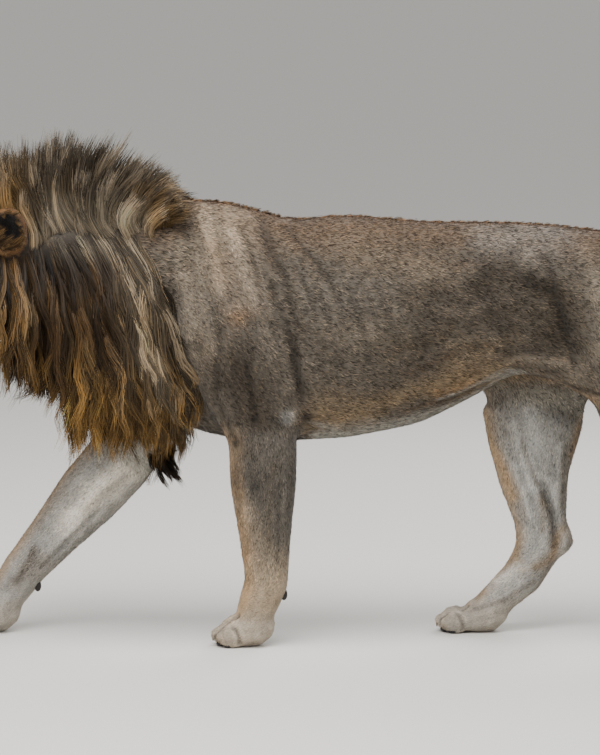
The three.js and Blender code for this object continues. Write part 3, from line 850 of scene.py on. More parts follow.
class MarkingsAndPaintedLight:
    # the coat's colour at each point, built up by laying one tone over another; some tones are painted shade
    # or painted highlight
    def __init__(self, points, normals, parts):
        self.points, self.normals, self.stem = points, normals, stemNames[parts]
        self.tones = np.array([coatTones["flank"]] * len(points))
        self.hand = np.sign(points[:, 0])
        self.medial = -self.hand * normals[:, 0]
        self.body = self.shareOf(("trunk", "neck", "thigh", "upper_foreleg"), 8)
        self.lower = self.shareOf(("forearm", "forepaw", "shank", "instep", "hindpaw"), 12)
        self.head = folded(fromHead(points))
        self.onHead = np.isin(self.stem, ("head", "jaw"))

    def shareOf(self, names, rounds):
        # 1 on these parts, blended across their borders
        return relax(np.isin(self.stem, names).astype(float), edges, rounds)

    def lay(self, mask, tone):
        m = np.clip(mask, 0, 1)[:, None]
        colour = np.array(coatTones[tone] if isinstance(tone, str) else tone)
        self.tones = self.tones * (1 - m) + colour * m

    def layPatches(self, table, weight):
        points = self.points
        drift = np.stack((wobble(points, 0.11, 1), wobble(points, 0.11, 2)), -1) * 15 * mm
        drift += np.stack((wobble(points, 0.035, 3), wobble(points, 0.035, 4)), -1) * 4 * mm
        uneven = 1 + 0.12 * wobble(points, 0.06, 5)
        facing = ease(np.abs(self.normals[:, 0]), 0.0, 0.3)
        for sideOf, line, reach, tone, strength in table:
            d = lineDistance(points[:, 1:] + drift * min(1, reach / 30), atLeastTwo(side(line)))
            ok = facing if sideOf == 0 else facing * ease(points[:, 0] * sideOf, 0, 0.03)
            ok = ok * ease(self.medial, -0.1, 0.25) if abs(sideOf) == 2 else ok
            self.lay(strength * uneven * ok * fade(d, reach * mm) * weight, tone)

    def layBody(self):
        points, normals, stem, body = self.points, self.normals, self.stem, self.body
        self.lay((stem == "thigh") * 0.7, "thigh")
        self.lay(ease(normals[:, 2], 0.25, 0.9) * body * 0.75, "back")
        self.layPatches(coatPatchesAndPaintedLight, 1 - self.lower)
        self.lay(ease(normals[:, 2], 0.5, 0.8) * body * fade(points[:, 0], 18 * mm) * 0.6, "spine")
        behindChest = points[:, 1] > side([(44, 0)])[0, 0]
        self.lay(ease(-normals[:, 2], 0.62, 0.95) * (stem == "trunk") * behindChest * 0.9, "underside")

    def layLegs(self):
        # tan in front, pale within and on the feet
        points, normals, stem, lower = self.points, self.normals, self.stem, self.lower
        height = points[:, 2]
        self.lay(lower * 0.9, "foreleg")
        upper = 1 - 0.5 * ease(height, 0.2, 0.42)
        self.lay(lower * ease(-normals[:, 1], 0.0, 0.9) * upper * 0.7, "legFront")
        self.lay(lower * (1 - ease(height, 0.12, 0.30)) * 0.8, "lowerLeg")
        inner = ease(self.medial, 0.1, 0.6) * ease(np.abs(points[:, 0]), 0.01, 0.05)
        upperLegs = np.isin(stem, ("thigh", "upper_foreleg"))
        self.lay(inner * np.maximum(lower, upperLegs) * 0.9 * ease(height, 0.68, 0.48), "inside")
        self.lay(inner * lower * ease(normals[:, 1], 0.0, 0.7) * 0.6, "legBack")
        self.lay(inner * (stem == "thigh") * ease(height, 0.72, 0.5) * 0.6, "thighInside")
        # painted shade in the gaps between the toes
        for line in toeGaps:
            self.lay(fade(lineDistance(points, line), 5 * mm) * 0.9, "toeGap")
        self.lay(lower * ease(-normals[:, 1], 0.2, 0.8) * upper * 0.7, "legFront")
        self.lay(lower * (1 - ease(height, 0.05, 0.11)) * 0.7, "foot")
        self.lay(np.isin(stem, ("instep", "shank")) * ease(normals[:, 1], 0.5, 0.9) * 0.45, "hock")
        self.layPatches(legPatchesAndPaintedLight, lower)

    def spotMask(self, place, reach):
        return self.onHead * fade(np.linalg.norm((self.head - place) / np.array(reach), axis=1), 1)

    def layFace(self):
        h, onHeadPart = self.head, self.onHead
        self.lay(onHeadPart * 0.95, "face")
        for place, reach, strength, tone in faceSpots:
            self.lay(self.spotMask(place, reach) * strength, tone)
        for spot in whiskerRoots:
            self.lay(self.spotMask(spot, (2.6, 2.6, 2.6)) * 0.8, "dark")
        self.lay(onHeadPart * (np.linalg.norm(h - noseHome, axis=1) < 30), "dark")
        self.lay(onHeadPart * fade(lineDistance(h, lipLine), 5.0), "dark")
        nearEye = np.linalg.norm(h - eyePlan["home"], axis=1) < 30
        self.lay(onHeadPart * nearEye * ease(almond(*eyePlane(h)), -1.5, -0.5), "dark")

    def layEars(self):
        ear = self.stem == "ear"
        earMid = folded(fromHead(centre("ear_left")[None]))[0]
        fromMid = np.linalg.norm((self.head - earMid)[:, 1:] / (1.0, 1.2), axis=1)
        outwards = ease(self.normals[:, 0] * self.hand - 0.5 * self.normals[:, 1], 0.1, 0.5)
        self.lay(ear * 1.0, "earBack")
        self.lay(ear * ease(fromMid, 32, 44), "earRim")
        # painted shade: the hollow of the ear near black
        self.lay(ear * outwards * (1 - ease(fromMid, 32, 42)), "earInside")

    def layUnderMane(self):
        # painted shade on the skin under the mane
        self.lay(maneArea(self.points, self.stem, -98) * 0.95, "underManeShade")
        d = lineDistance(self.points[:, 1:], side([(16.0, 84.6), (22.0, 85.4), (24.4, 86.0)]))
        self.lay(fade(d, 42 * mm) * 0.8 * np.isin(self.stem, ("neck", "trunk", "head")), "parting")

    def shaded(self):
        # painted shade in the hollows, painted highlight on the ridges, and mottled all over
        points = self.points
        hollow = ((relax(points, edges, 12) - points) * self.normals).sum(1) / mm
        hollow = hollow - relax(hollow, edges, 60)
        tones = self.tones * (1 - 0.28 * np.clip(hollow, -0.9, 1.3))[:, None]
        mottle = 1 + 0.07 * wobble(points, 0.05, 6) + 0.05 * wobble(points, 0.02, 7) * (~self.onHead)
        warmer = 1 + np.array((0.03, 0.0, -0.07)) * (self.body * ~self.onHead)[:, None]
        return tones * warmer * (mottle + 0.05 * wobble(points, 0.13, 8))[:, None]


def tonesWithPaintedLight():
    marks = MarkingsAndPaintedLight(co, normals, parts)
    marks.layBody()
    marks.layLegs()
    marks.lay(np.char.startswith(marks.stem, "tail") * 0.8, "tail")
    marks.layFace()
    marks.layEars()
    marks.layUnderMane()
    return marks.shaded()


def eyePlane(h):
    _, across, up = eyeAxes()
    rel = h - eyePlan["home"]
    return rel @ across, rel @ up


# where the mane grows: behind the face, down to the line it leaves on the shoulder

maneEdge = side([(26.0, 90), (25.8, 84), (26.2, 76), (27.2, 66), (28.4, 56), (29.0, 46), (28.0, 40)])


def nearEar(points):
    h = folded(fromHead(points))
    return np.exp(-(((h[:, 1] + 36) / 44) ** 2 + ((h[:, 2] - 98) / 52) ** 2) ** 2)


def maneArea(points, stem, hairLine=-116):
    h = folded(fromHead(points))
    line = hairLine - 34 * ease(-h[:, 2], 0, 60)
    behind = ease(h[:, 1], line, line + 24)
    rear = np.interp(points[:, 2], maneEdge[::-1, 1], maneEdge[::-1, 0])
    before = 1 - ease(points[:, 1], rear - 12 * mm, rear + 6 * mm)
    low = ease(points[:, 2], side([(0, 37)])[0, 1], side([(0, 40)])[0, 1])
    bare = np.isin(stem, ("forearm", "forepaw", "ear"))
    return behind * before * low * ~bare


parts = partsOf(co)
tones = tonesWithPaintedLight()
inMane = maneArea(co, stemNames[parts])
skinPaint = skinMaterial()
addTones(skin, tones)
skin.polygons.foreach_set("use_smooth", np.ones(len(skin.polygons), bool))
piece("skin", skin, skinPaint, fleshNodes)
print("skin marked")


# hair: points on the skin, flat tufts, and long strands in locks

first, second, third = (co[corners[:, k]] for k in range(3))
triArea = np.linalg.norm(np.cross(second - first, third - first), axis=1) / 2
patchSize = 0.003       # of one hair on the OFBake map
mostTriangles = 190000  # in one piece of long hair


def scatter(rng, count, weight):
    # random places on the skin, as three corners and their shares
    w = triArea * weight[corners].mean(axis=1)
    pick = rng.choice(len(corners), count, p=w / w.sum())
    a, b = rng.random(count), rng.random(count)
    flip = a + b > 1
    a[flip], b[flip] = 1 - a[flip], 1 - b[flip]
    return corners[pick], np.stack((1 - a - b, a, b), -1)


def blendOf(values, corner, share):
    return np.einsum("nk,nk...->n...", share, values[corner])


def unwrapped(roots, parts):
    # each part of the body has its own square of the map: along the part, and round it
    names = np.unique(parts)
    grid = math.ceil(math.sqrt(len(names)))
    uv = np.zeros((len(roots), 2))
    for k, part in enumerate(names):
        mine = parts == part
        low, high = (np.array(v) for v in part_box(nodeNames[part]))
        axis = int(np.argmax(high - low))
        p = (roots[mine] - (low + high) / 2) / (high - low)
        across = [i for i in range(3) if i != axis]
        turn = np.arctan2(p[:, across[0]], p[:, across[1]]) / (2 * math.pi) + 0.5
        tile = np.array((k % grid, k // grid)) / grid
        uv[mine] = tile + (0.02 + 0.95 * np.stack((turn, np.clip(p[:, axis] + 0.5, 0, 1)), -1)) / grid
    return uv


def coatPiece(name, points, faces, tones, normals, patch, material, replaces=()):
    # patch holds each corner's place on the OFBake map
    mesh = meshFrom(name, points, faces)
    addTones(mesh, tones)
    layer = mesh.uv_layers.new(name="OFBake")
    layer.data.foreach_set("uv", patch[faces.ravel()].astype(np.float32).ravel())
    mesh.normals_split_custom_set_from_vertices(np.asarray(normals, np.float32))
    return piece(name, mesh, material, replaces)


def rotated(v, axis, angle):
    c, s = np.cos(angle)[:, None], np.sin(angle)[:, None]
    return v * c + np.cross(axis, v) * s + axis * (axis * v).sum(-1, keepdims=True) * (1 - c)


def coatLie():
    # which way the hair runs at each point of the skin
    lie = np.zeros((len(co), 3))
    for index, name in enumerate(nodeNames):
        mine = parts == index
        chain = next((c for c in legChains + [tailChain] if name in c), None)
        if name.startswith("ear"):
            lie[mine] = unit(co[mine] - boxAt(name, 0.5, 0.5, 0.0))
        elif name in ("head", "nose", "jaw") or name.startswith("eye"):
            lie[mine] = unit(co[mine] - onHead(np.array((0, -330.0, 26.0))))
        elif chain and name != chain[-1]:
            ahead = chain[chain.index(name) + 1]
            lie[mine] = unit(centre(ahead) - centre(name))
        elif chain:
            lie[mine] = (0, -0.9, -0.42)
        else:
            lie[mine] = (0, 1.0, -0.25)
        if name.startswith(("thigh", "upper_foreleg")):
            lie[mine] = unit(lie[mine] + (0, 1.1, 0))
    lie = relax(lie, edges, 40)
    lie -= normals * (lie * normals).sum(-1, keepdims=True)
    return unit(lie)


lie = coatLie()
tuftLength = partTable(co, edges, 2) * mm
tuftCount = partTable(co, edges, 3)
print("lie of the coat found")

# width and lift are shares of a tuft's length; its widest place is at the share "waist" of it
shortCoat = {"tufts": 245000, "perPiece": 95000, "width": 0.135, "waist": 0.42, "lift": 0.15, "turn": 0.32,
             "seed": 5, "contrast": 0.66, "sunk": 0.5 * mm, "arch": 0.9 * mm, "tipHeight": 0.3 * mm,
             "shades": (0.72, 1.0, 1.18, 1.0), "nakedEye": 24, "nakedNose": 34}


def tuftTones(plan, rng, root, tone):
    # each tuft's own brightness and warmth, at its four corners
    bright = np.exp(rng.normal(-0.04, plan["contrast"], len(root))).clip(0.25, 1.8)
    bright = bright * (1 + 0.16 * wobble(root, 0.007, 11) + 0.08 * wobble(root, 0.02, 12)).clip(0.3, 1.8)
    # calmer where the coat is pale
    pale = ease(tone.mean(-1), 0.12, 0.36)
    bright = 1 + (bright - 1) * (1 - 0.45 * pale)
    warm = rng.normal(0.015, 0.03, len(root)) + 0.06 * np.clip(bright - 0.95, -0.6, 0.8)
    tone = tone * bright[:, None] * np.stack((1 + warm, np.ones(len(root)), 1 - warm), -1)
    return np.clip(tone[:, None] * np.array(plan["shades"])[None, :, None], 0, 0.95)


def growTufts():
    plan = shortCoat
    rng = np.random.default_rng(plan["seed"])
    h = folded(fromHead(co))
    eye = (np.linalg.norm(h - eyePlan["home"], axis=1) < plan["nakedEye"]) & (almond(*eyePlane(h)) > -0.9)
    nose = np.linalg.norm(fromHead(co) - noseHome, axis=1) < plan["nakedNose"]
    lipGap = lineDistance(h, lipLine)
    weight = tuftCount * (1 - 0.96 * inMane * (1 - nearEar(co))) * ~eye * ~nose * ease(lipGap, 3, 9)
    corner, share = scatter(rng, plan["tufts"], weight)
    root, n = blendOf(co, corner, share), unit(blendOf(normals, corner, share))
    run = unit(blendOf(lie, corner, share))
    tone = blendOf(tones, corner, share)
    part = parts[corner[:, 0]]
    length = blendOf(tuftLength, corner, share) * rng.uniform(0.6, 1.1, len(root))
    run = rotated(run, n, rng.normal(0, plan["turn"], len(root)))
    lift = plan["lift"] * rng.uniform(0.3, 1.5, len(root))
    tipRun = unit(run + n * lift[:, None])
    wide = unit(np.cross(run, n)) * (length * plan["width"] * rng.uniform(0.7, 1.2, len(root)))[:, None] / 2
    base = root - n * plan["sunk"]
    middle = base + tipRun * length[:, None] * plan["waist"] + n * plan["arch"]
    tip = base + tipRun * length[:, None] + n * plan["tipHeight"]
    points = np.stack((base, middle + wide, tip, middle - wide), 1)
    pointTones = tuftTones(plan, rng, root, tone)
    bent = unit(n - run * 0.25 + rng.normal(0, 0.22, n.shape))
    pointNormals = np.repeat(bent[:, None], 4, axis=1)
    # pieces by the order of the parts, so that each covers its own stretch of the body
    order = np.argsort(part, kind="stable")
    for index, chosen in enumerate(np.array_split(order, math.ceil(len(order) / plan["perPiece"]))):
        uv = unwrapped(root[chosen], part[chosen])
        patch = uv[:, None] + np.array(((0.5, 0), (0, 0.5), (0.5, 1), (1, 0.5))) * patchSize
        faces = np.arange(len(chosen) * 4).reshape(-1, 4)
        coatPiece(f"shortCoat_{index + 1}", points[chosen].reshape(-1, 3), faces,
                  pointTones[chosen].reshape(-1, 3), pointNormals[chosen].reshape(-1, 3),
                  patch.reshape(-1, 2), furPaint)


furPaint = tuftMaterial("coatTufts", 0.72, 0.1)
growTufts()
print("short coat grown")


class Strands:
    # flat strands spread round the path of each lock: paths are (locks, stations, 3)
    def __init__(self, plan, paths, outward, radius, roots):
        self.plan, self.rng = plan, np.random.default_rng(plan["seed"])
        rng = self.rng
        self.locks, stations = paths.shape[:2]
        bends = plan["bends"]
        run = unit(np.gradient(paths, axis=1))
        out = unit(outward - run * (outward * run).sum(-1, keepdims=True))
        across = np.cross(run, out)
        total = self.locks * plan["strands"]
        self.lock = np.repeat(np.arange(self.locks), plan["strands"])
        reach = rng.uniform(plan["shortest"], 1.0, total)
        at = np.linspace(0, 1, bends)[None] * reach[:, None] * (stations - 1)
        low = np.minimum(at.astype(int), stations - 2)
        f = (at - low)[..., None]

        def along(field):
            return field[self.lock[:, None], low] * (1 - f) + field[self.lock[:, None], low + 1] * f

        path, up, sideways = along(paths), along(out), along(across)
        # where each strand lies in its lock: beside and above the path
        angle, far = rng.uniform(0, 2 * math.pi, total), np.sqrt(rng.random(total))
        beside, above = np.cos(angle) * far, np.sin(angle) * far
        self.share = at / (stations - 1)
        self.high = np.clip(0.5 + 0.5 * above, 0, 1)
        size = np.linalg.norm(np.diff(paths, axis=1), axis=-1).sum(1)[self.lock][:, None]
        spread, wave, drift = self.laid(roots, size)
        thick = radius[self.lock][:, None]
        path = path + sideways * (beside[:, None] * thick * spread + wave + drift)[..., None]
        self.middle = path + up * (above[:, None] * thick * spread * 0.62)[..., None]
        beside, above = beside[:, None, None], above[:, None, None]
        self.face = unit(up + sideways * beside * 0.75 + up * (above - 0.2) * 0.3)
        half = plan["width"] * mm / 2 * rng.uniform(0.7, 1.3, (total, 1))
        half = half * np.interp(self.share, (0, 0.12, 0.7, 1), (0.2, 1.0, 0.85, 0.12))
        wide = unit(np.cross(unit(np.gradient(self.middle, axis=1)), self.face)) * half[..., None]
        self.points = np.stack((self.middle + wide, self.middle - wide), 2)

    def laid(self, roots, size):
        # how far each strand spreads from its path, and how it waves and drifts beside it
        plan, rng, s, total = self.plan, self.rng, self.share, len(self.lock)
        spread = np.interp(s, (0, 0.25, 0.6, 0.85, 1.0), plan["spread"])
        # a few stray from their lock
        wild = rng.random(total) < plan["wild"]
        spread = spread + wild[:, None] * s * 0.9
        # neighbouring locks wave together
        phase = (4 * wobble(roots, 0.1, plan["seed"]) + rng.normal(0, 0.4, self.locks))[self.lock][:, None]
        phase = phase + rng.normal(0, 0.3, (total, 1))
        wave = np.sin(2 * math.pi * s * size / plan["waveLength"] + phase) * plan["wave"] * ease(s, 0.1, 0.6)
        drift = rng.normal(0, plan["stray"] * mm, (total, 1)) * s
        return spread, wave, drift

    def colours(self, tone):
        # tone gives the colour along each strand; here every strand gets its own brightness and warmth
        plan, rng, total = self.plan, self.rng, len(self.lock)
        tint = np.exp(rng.normal(0, plan["contrast"], total))
        lockTint = np.exp(rng.normal(0, plan["lockContrast"], self.locks))[self.lock]
        # painted shade: darker deep in the lock
        bright = np.minimum(tint * lockTint * (0.3 + 0.84 * self.high), 1.6)[:, None, None]
        colours = tone(self.middle, self.share, self.lock) * bright
        warm = (0.1 * np.clip(tint - 1, -0.6, 0.8) + rng.normal(0, 0.03, total))[:, None]
        colours = colours * np.stack((1 + warm, 1 + 0 * warm, 1 - 1.4 * warm), -1)
        return np.clip(np.repeat(colours[:, :, None], 2, axis=2), 0.002, 0.45)


def growStrands(name, plan, paths, outward, radius, tone, roots, rootParts, hides=()):
    strands = Strands(plan, paths, outward, radius, roots)
    colours = strands.colours(tone)
    shading = np.repeat(strands.face[:, :, None], 2, axis=2)
    total, bends, lock = len(strands.lock), plan["bends"], strands.lock
    index = np.arange(total * bends * 2).reshape(total, bends, 2)
    faces = np.stack((index[:, :-1, 0], index[:, 1:, 0], index[:, 1:, 1], index[:, :-1, 1]), -1)
    perPiece = int(mostTriangles / ((bends - 1) * 2))
    pieces = math.ceil(total / perPiece)
    rungs = np.linspace(0, 1, bends)[:, None]
    ladder = np.stack(np.broadcast_arrays(np.array((0.0, 1.0))[None], rungs), -1)
    for k, chosen in enumerate(np.array_split(np.arange(total), pieces)):
        uv = unwrapped(roots[lock[chosen]], rootParts[lock[chosen]])
        patch = uv[:, None, None] + ladder[None] * patchSize
        first = index[chosen[0], 0, 0]
        coatPiece(f"{name}_{k + 1}" if pieces > 1 else name, strands.points[chosen].reshape(-1, 3),
                  (faces[chosen] - first).reshape(-1, 4), colours[chosen].reshape(-1, 3),
                  shading[chosen].reshape(-1, 3), patch.reshape(-1, 2), manePaint,
                  hides if k == 0 else ())
    print(name, total, "strands", faces.shape[0] * faces.shape[1] * 2, "triangles")


# the mane

# from root to tip in the side plane, the same on both sides of the neck
maneLines = [
    [(24.6, 87.0), (26.0, 82.4), (27.4, 76.0), (28.4, 69.4), (28.8, 63.0)],
    [(21.5, 86.4), (23.7, 80.4), (25.2, 72.4), (26.2, 63.5), (26.7, 54.5), (26.8, 46.0)],
    [(17.2, 84.4), (19.6, 78.0), (21.3, 69.4), (22.3, 58.5), (22.7, 49.5), (22.6, 40.0)],
    [(14.6, 80.4), (15.9, 71.4), (16.7, 60.5), (16.9, 50.5), (16.6, 43.5)],
    [(11.7, 77.4), (11.9, 69.4), (11.5, 59.5), (10.6, 49.5)],
    [(9.0, 75.4), (9.6, 67.4), (9.3, 59.5), (8.5, 52.5)],
    [(25.4, 72.4), (27.6, 64.5), (29.6, 55.5), (31.0, 46.6), (31.4, 43.6)],
    [(23.0, 63.5), (24.6, 54.5), (25.8, 45.6), (26.4, 36.6)],
    [(19.3, 59.5), (20.0, 50.5), (20.2, 43.6), (20.0, 33.0)],
    [(13.9, 63.5), (13.9, 57.5), (13.2, 51.5), (11.9, 48.4)],
    [(26.4, 57.5), (28.0, 51.0), (29.2, 45.6), (29.4, 39.6)],
    [(22.0, 50.0), (22.8, 45.5), (23.2, 41.0), (23.4, 34.6)],
    [(17.2, 52.5), (17.8, 46.6), (17.6, 34.4)],
    [(8.5, 64.5), (8.5, 58.5), (7.8, 54.5), (7.0, 51.5)],
]
crestLines = [
    [(28.6, 86.8), (29.2, 87.6), (30.2, 88.2), (31.2, 88.3), (32.0, 88.0)],
    [(26.9, 87.0), (26.9, 88.8), (28.4, 90.2), (30.0, 89.8), (31.3, 88.6)],
    [(26.1, 87.0), (25.6, 89.4), (26.2, 92.6), (27.3, 95.2), (28.8, 97.2)],
    [(25.0, 86.6), (24.2, 89.4), (24.2, 92.8), (24.9, 96.6), (26.2, 101.2)],
    [(24.0, 86.6), (23.0, 90.2), (22.7, 93.4), (23.2, 97.4), (24.6, 102.0)],
    [(21.5, 85.6), (20.5, 89.0), (20.1, 92.4), (20.2, 96.4), (21.2, 101.2)],
    [(18.8, 85.6), (17.4, 89.0), (16.6, 92.8), (16.6, 96.6), (17.0, 101.4)],
    [(16.4, 86.2), (15.8, 89.6), (15.1, 93.6), (14.9, 97.4), (15.0, 101.8)],
    [(14.2, 85.0), (15.4, 88.6), (15.0, 92.6), (13.9, 96.0), (13.6, 101.6)],
    [(11.0, 85.6), (10.4, 89.5), (9.6, 93.2), (9.3, 97.0), (9.9, 101.0)],
    [(8.3, 84.4), (7.4, 87.2), (7.0, 90.2), (7.2, 93.0), (8.2, 96.2)],
    [(6.2, 82.6), (5.8, 84.6), (5.8, 86.8), (6.4, 89.0), (7.6, 91.2)],
]
stationCount = 20       # places along each lock's path


def followed(lines, roots, soften=35 * mm):
    # each root's path in the side plane, blended from the lines that start near it
    guides = np.stack([through(side(line), stationCount) for line in lines])
    starts, runs = guides[:, 0], guides - guides[:, :1]
    d = np.linalg.norm(roots[:, None] - starts[None], axis=-1)
    w = 1 / (d**2 + soften**2) ** 2
    w /= w.sum(1, keepdims=True)
    return np.einsum("nk,kst->nst", w, runs)


def turned(run, angle):
    # paths in the side plane, turned about their roots
    c, s = np.cos(angle)[:, None], np.sin(angle)[:, None]
    return np.stack((run[..., 0] * c - run[..., 1] * s, run[..., 0] * s + run[..., 1] * c), -1)


def clumped(roots, spacing, rng):
    # groups of roots about that far apart: each root's own group and the group's middle
    chosen = []
    for spot in roots[rng.permutation(len(roots))]:
        if all(np.sum((spot - other) ** 2) > spacing**2 for other in chosen):
            chosen.append(spot)
    middles = np.array(chosen)
    nearest = np.linalg.norm(roots[:, None] - middles[None], axis=-1).argmin(axis=1)
    return nearest, middles[nearest]


class WidthMap:
    # how far a body reaches from the midline, by place in the side plane
    def __init__(self, tree, hand, start, end, gap=10 * mm):
        self.start, self.gap = np.array(start), gap
        self.count = np.ceil((np.array(end) - start) / gap).astype(int) + 1
        self.width = np.zeros(self.count)
        for i in range(self.count[0]):
            for j in range(self.count[1]):
                spot = Vector((0.5 * hand, start[0] + i * gap, start[1] + j * gap))
                hit = tree.ray_cast(spot, Vector((-hand, 0, 0)), 0.5)[0]
                if hit:
                    self.width[i, j] = abs(hit.x)

    def soften(self, rounds):
        for _ in range(rounds):
            w = np.pad(self.width, 1, mode="edge")
            self.width = (w[1:-1, 1:-1] * 4 + w[2:, 1:-1] + w[:-2, 1:-1] + w[1:-1, 2:] + w[1:-1, :-2]) / 8

    def fallBelow(self, reach):
        # hair hangs straight on where the body ends
        keep = math.exp(-self.gap / reach)
        for j in range(self.count[1] - 2, -1, -1):
            self.width[:, j] = np.maximum(self.width[:, j], self.width[:, j + 1] * keep)

    def at(self, yz):
        f = np.clip((yz - self.start) / self.gap, 0, self.count - 1.001)
        i = f.astype(int)
        f = f - i
        w = self.width
        i0, j0 = i[..., 0], i[..., 1]
        return ((w[i0, j0] * (1 - f[..., 0]) + w[i0 + 1, j0] * f[..., 0]) * (1 - f[..., 1])
                + (w[i0, j0 + 1] * (1 - f[..., 0]) + w[i0 + 1, j0 + 1] * f[..., 0]) * f[..., 1])


hullPoints, hullFaces, _ = nodeArrays([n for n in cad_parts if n.startswith("mane_")], 0.0)
hullTree = treeOf(hullPoints, hullFaces)
mapStart, mapEnd = side([(-1, 28)])[0], side([(36, 101)])[0]
skinWidth = {hand: WidthMap(skinTree, hand, mapStart, mapEnd) for hand in (1, -1)}
hullWidth = {hand: WidthMap(hullTree, hand, mapStart, mapEnd) for hand in (1, -1)}
for widths in hullWidth.values():
    widths.fallBelow(0.5)
    widths.soften(4)
for widths in skinWidth.values():
    widths.soften(2)
print("mane measured")

maneTones = {
    "pale": srgb(170, 156, 134), "grey": srgb(134, 118, 96), "brown": srgb(58, 43, 26),
    "dark": srgb(16, 12, 8), "gold": srgb(154, 117, 64), "amber": srgb(98, 76, 49),
    "crest": srgb(106, 92, 73), "crestTip": srgb(148, 137, 122), "roots": srgb(130, 118, 100),
    "smoke": srgb(92, 83, 72), "straw": srgb(122, 100, 68), "spine": srgb(98, 76, 56),
}


def percent(p):
    return (p[..., 1] - cadLow.y) / cadSize.y * 100, (p[..., 2] - cadLow.z) / cadSize.z * 100


def plainHair(tone, p):
    return np.broadcast_to(np.array(maneTones[tone]), p.shape).copy()


def layTone(tones, mask, tone):
    m = np.clip(mask, 0, 1)[..., None]
    return tones * (1 - m) + np.array(maneTones[tone]) * m


# of a lock's strands: width in mm, wave along the lock, share of strands that stray, shortest share
# of the lock's length, and spread round its path from root to tip; locks are drawn into clumps
manePlan = {"locks": 1150, "strands": 45, "bends": 8, "width": 1.5, "wave": 11 * mm, "waveLength": 0.16,
            "seed": 11, "contrast": 0.38, "lockContrast": 0.14, "wild": 0.12, "radius": 11.5 * mm,
            "stray": 5.0, "shortest": 0.55, "spread": (1.2, 1.05, 1.0, 0.8, 0.5), "clump": 38 * mm,
            "gather": 0.72, "clumpContrast": 0.14, "turn": 0.1, "sunk": 5 * mm, "golden": 0.4, "ragged": 6.0}
crestPlan = {"locks": 330, "strands": 48, "bends": 6, "width": 1.5, "wave": 3.5 * mm, "waveLength": 0.14,
             "seed": 12, "contrast": 0.32, "lockContrast": 0.12, "wild": 0.1, "radius": 13 * mm,
             "stray": 6.0, "shortest": 0.66, "spread": (1.1, 1.0, 0.95, 0.9, 0.75), "clump": 34 * mm,
             "gather": 0.5, "clumpContrast": 0.16, "turn": 0.13, "halfWidth": 110 * mm, "scatter": 18 * mm}

# how low the hair hangs, in hundredths of the height, along the length
hemAt = (8, 10.6, 11.7, 13.9, 15.5, 17.2, 18.8, 21.5, 24.8, 26.9, 28.6, 29.6, 31.3, 32.9)
hem = (50, 47.8, 46.2, 50.8, 53.0, 36.0, 33.6, 33.2, 33.6, 31.0, 33.2, 35.4, 38.6, 42.0)


def overHem(root, run, rng):
    # shortens the locks that would hang below the hem
    tip = root + run[:, -1]
    y = (tip[:, 0] - cadLow.y) / cadSize.y * 100
    low = np.interp(y, hemAt, hem) + rng.uniform(-3, 3, len(root))
    low = cadLow.z + cadSize.z * low / 100
    share = (root[:, 1] - low) / np.maximum(root[:, 1] - tip[:, 1], 1e-3)
    return run * np.where(tip[:, 1] < low, np.clip(share, 0.2, 1), 1)[:, None, None]


def gatherLocks(plan, yz, rng):
    # draws the locks of a clump together; returns how bright each lock is: painted shade, darkest in the gaps
    # between clumps, times each clump's own tone
    group, middle = clumped(yz[:, 0], plan["clump"], rng)
    s = np.linspace(0, 1, stationCount)[None, :, None]
    yz = yz + (middle - yz[:, 0])[:, None] * plan["gather"] * ease(s, 0.05, 0.55)
    off = np.linalg.norm(yz[:, 0] - middle, axis=-1) / (plan["clump"] / 2)
    bright = 1.24 - 0.9 * ease(off, 0.35, 1.15)
    return yz, bright * np.exp(rng.normal(0, plan["clumpContrast"], group.max() + 1))[group]


def maneOut(root, yz, depth, sunk):
    # how far from the midline each place of a lock lies: it comes out of the skin and then lies at its
    # own depth between the skin and the mane's outline
    hand = np.where(root[:, 0] >= 0, 1, -1)
    s = np.linspace(0, 1, stationCount)[None]
    skinX, hullX = (np.where(hand[:, None] > 0, widths[1].at(yz), widths[-1].at(yz))
                    for widths in (skinWidth, hullWidth))
    x0 = np.abs(root[:, 0])
    start = np.clip(x0 / np.maximum(hullX[:, 0], 60 * mm), 0, 1)
    end = start + (1 - start) * depth * (0.3 + 0.7 * ease(start, 0.15, 0.6))
    outness = start[:, None] + (end - start)[:, None] * ease(s, 0, 0.4)
    x = np.maximum(skinX + (4 * mm + 20 * mm * depth[:, None] * ease(s, 0, 0.3)), outness * (hullX - 6 * mm))
    x = x0[:, None] + (x - x0[:, None]) * ease(s, 0, 0.14) - sunk * (1 - ease(s, 0, 0.06))
    # never steeper sideways than about half its run down
    step = np.linalg.norm(np.diff(yz, axis=1), axis=-1)
    for k in range(1, stationCount):
        last, along = x[:, k - 1], step[:, k - 1]
        x[:, k] = np.clip(x[:, k], last - 0.5 * along, last + 0.55 * along + 1 * mm)
    return x * hand[:, None]


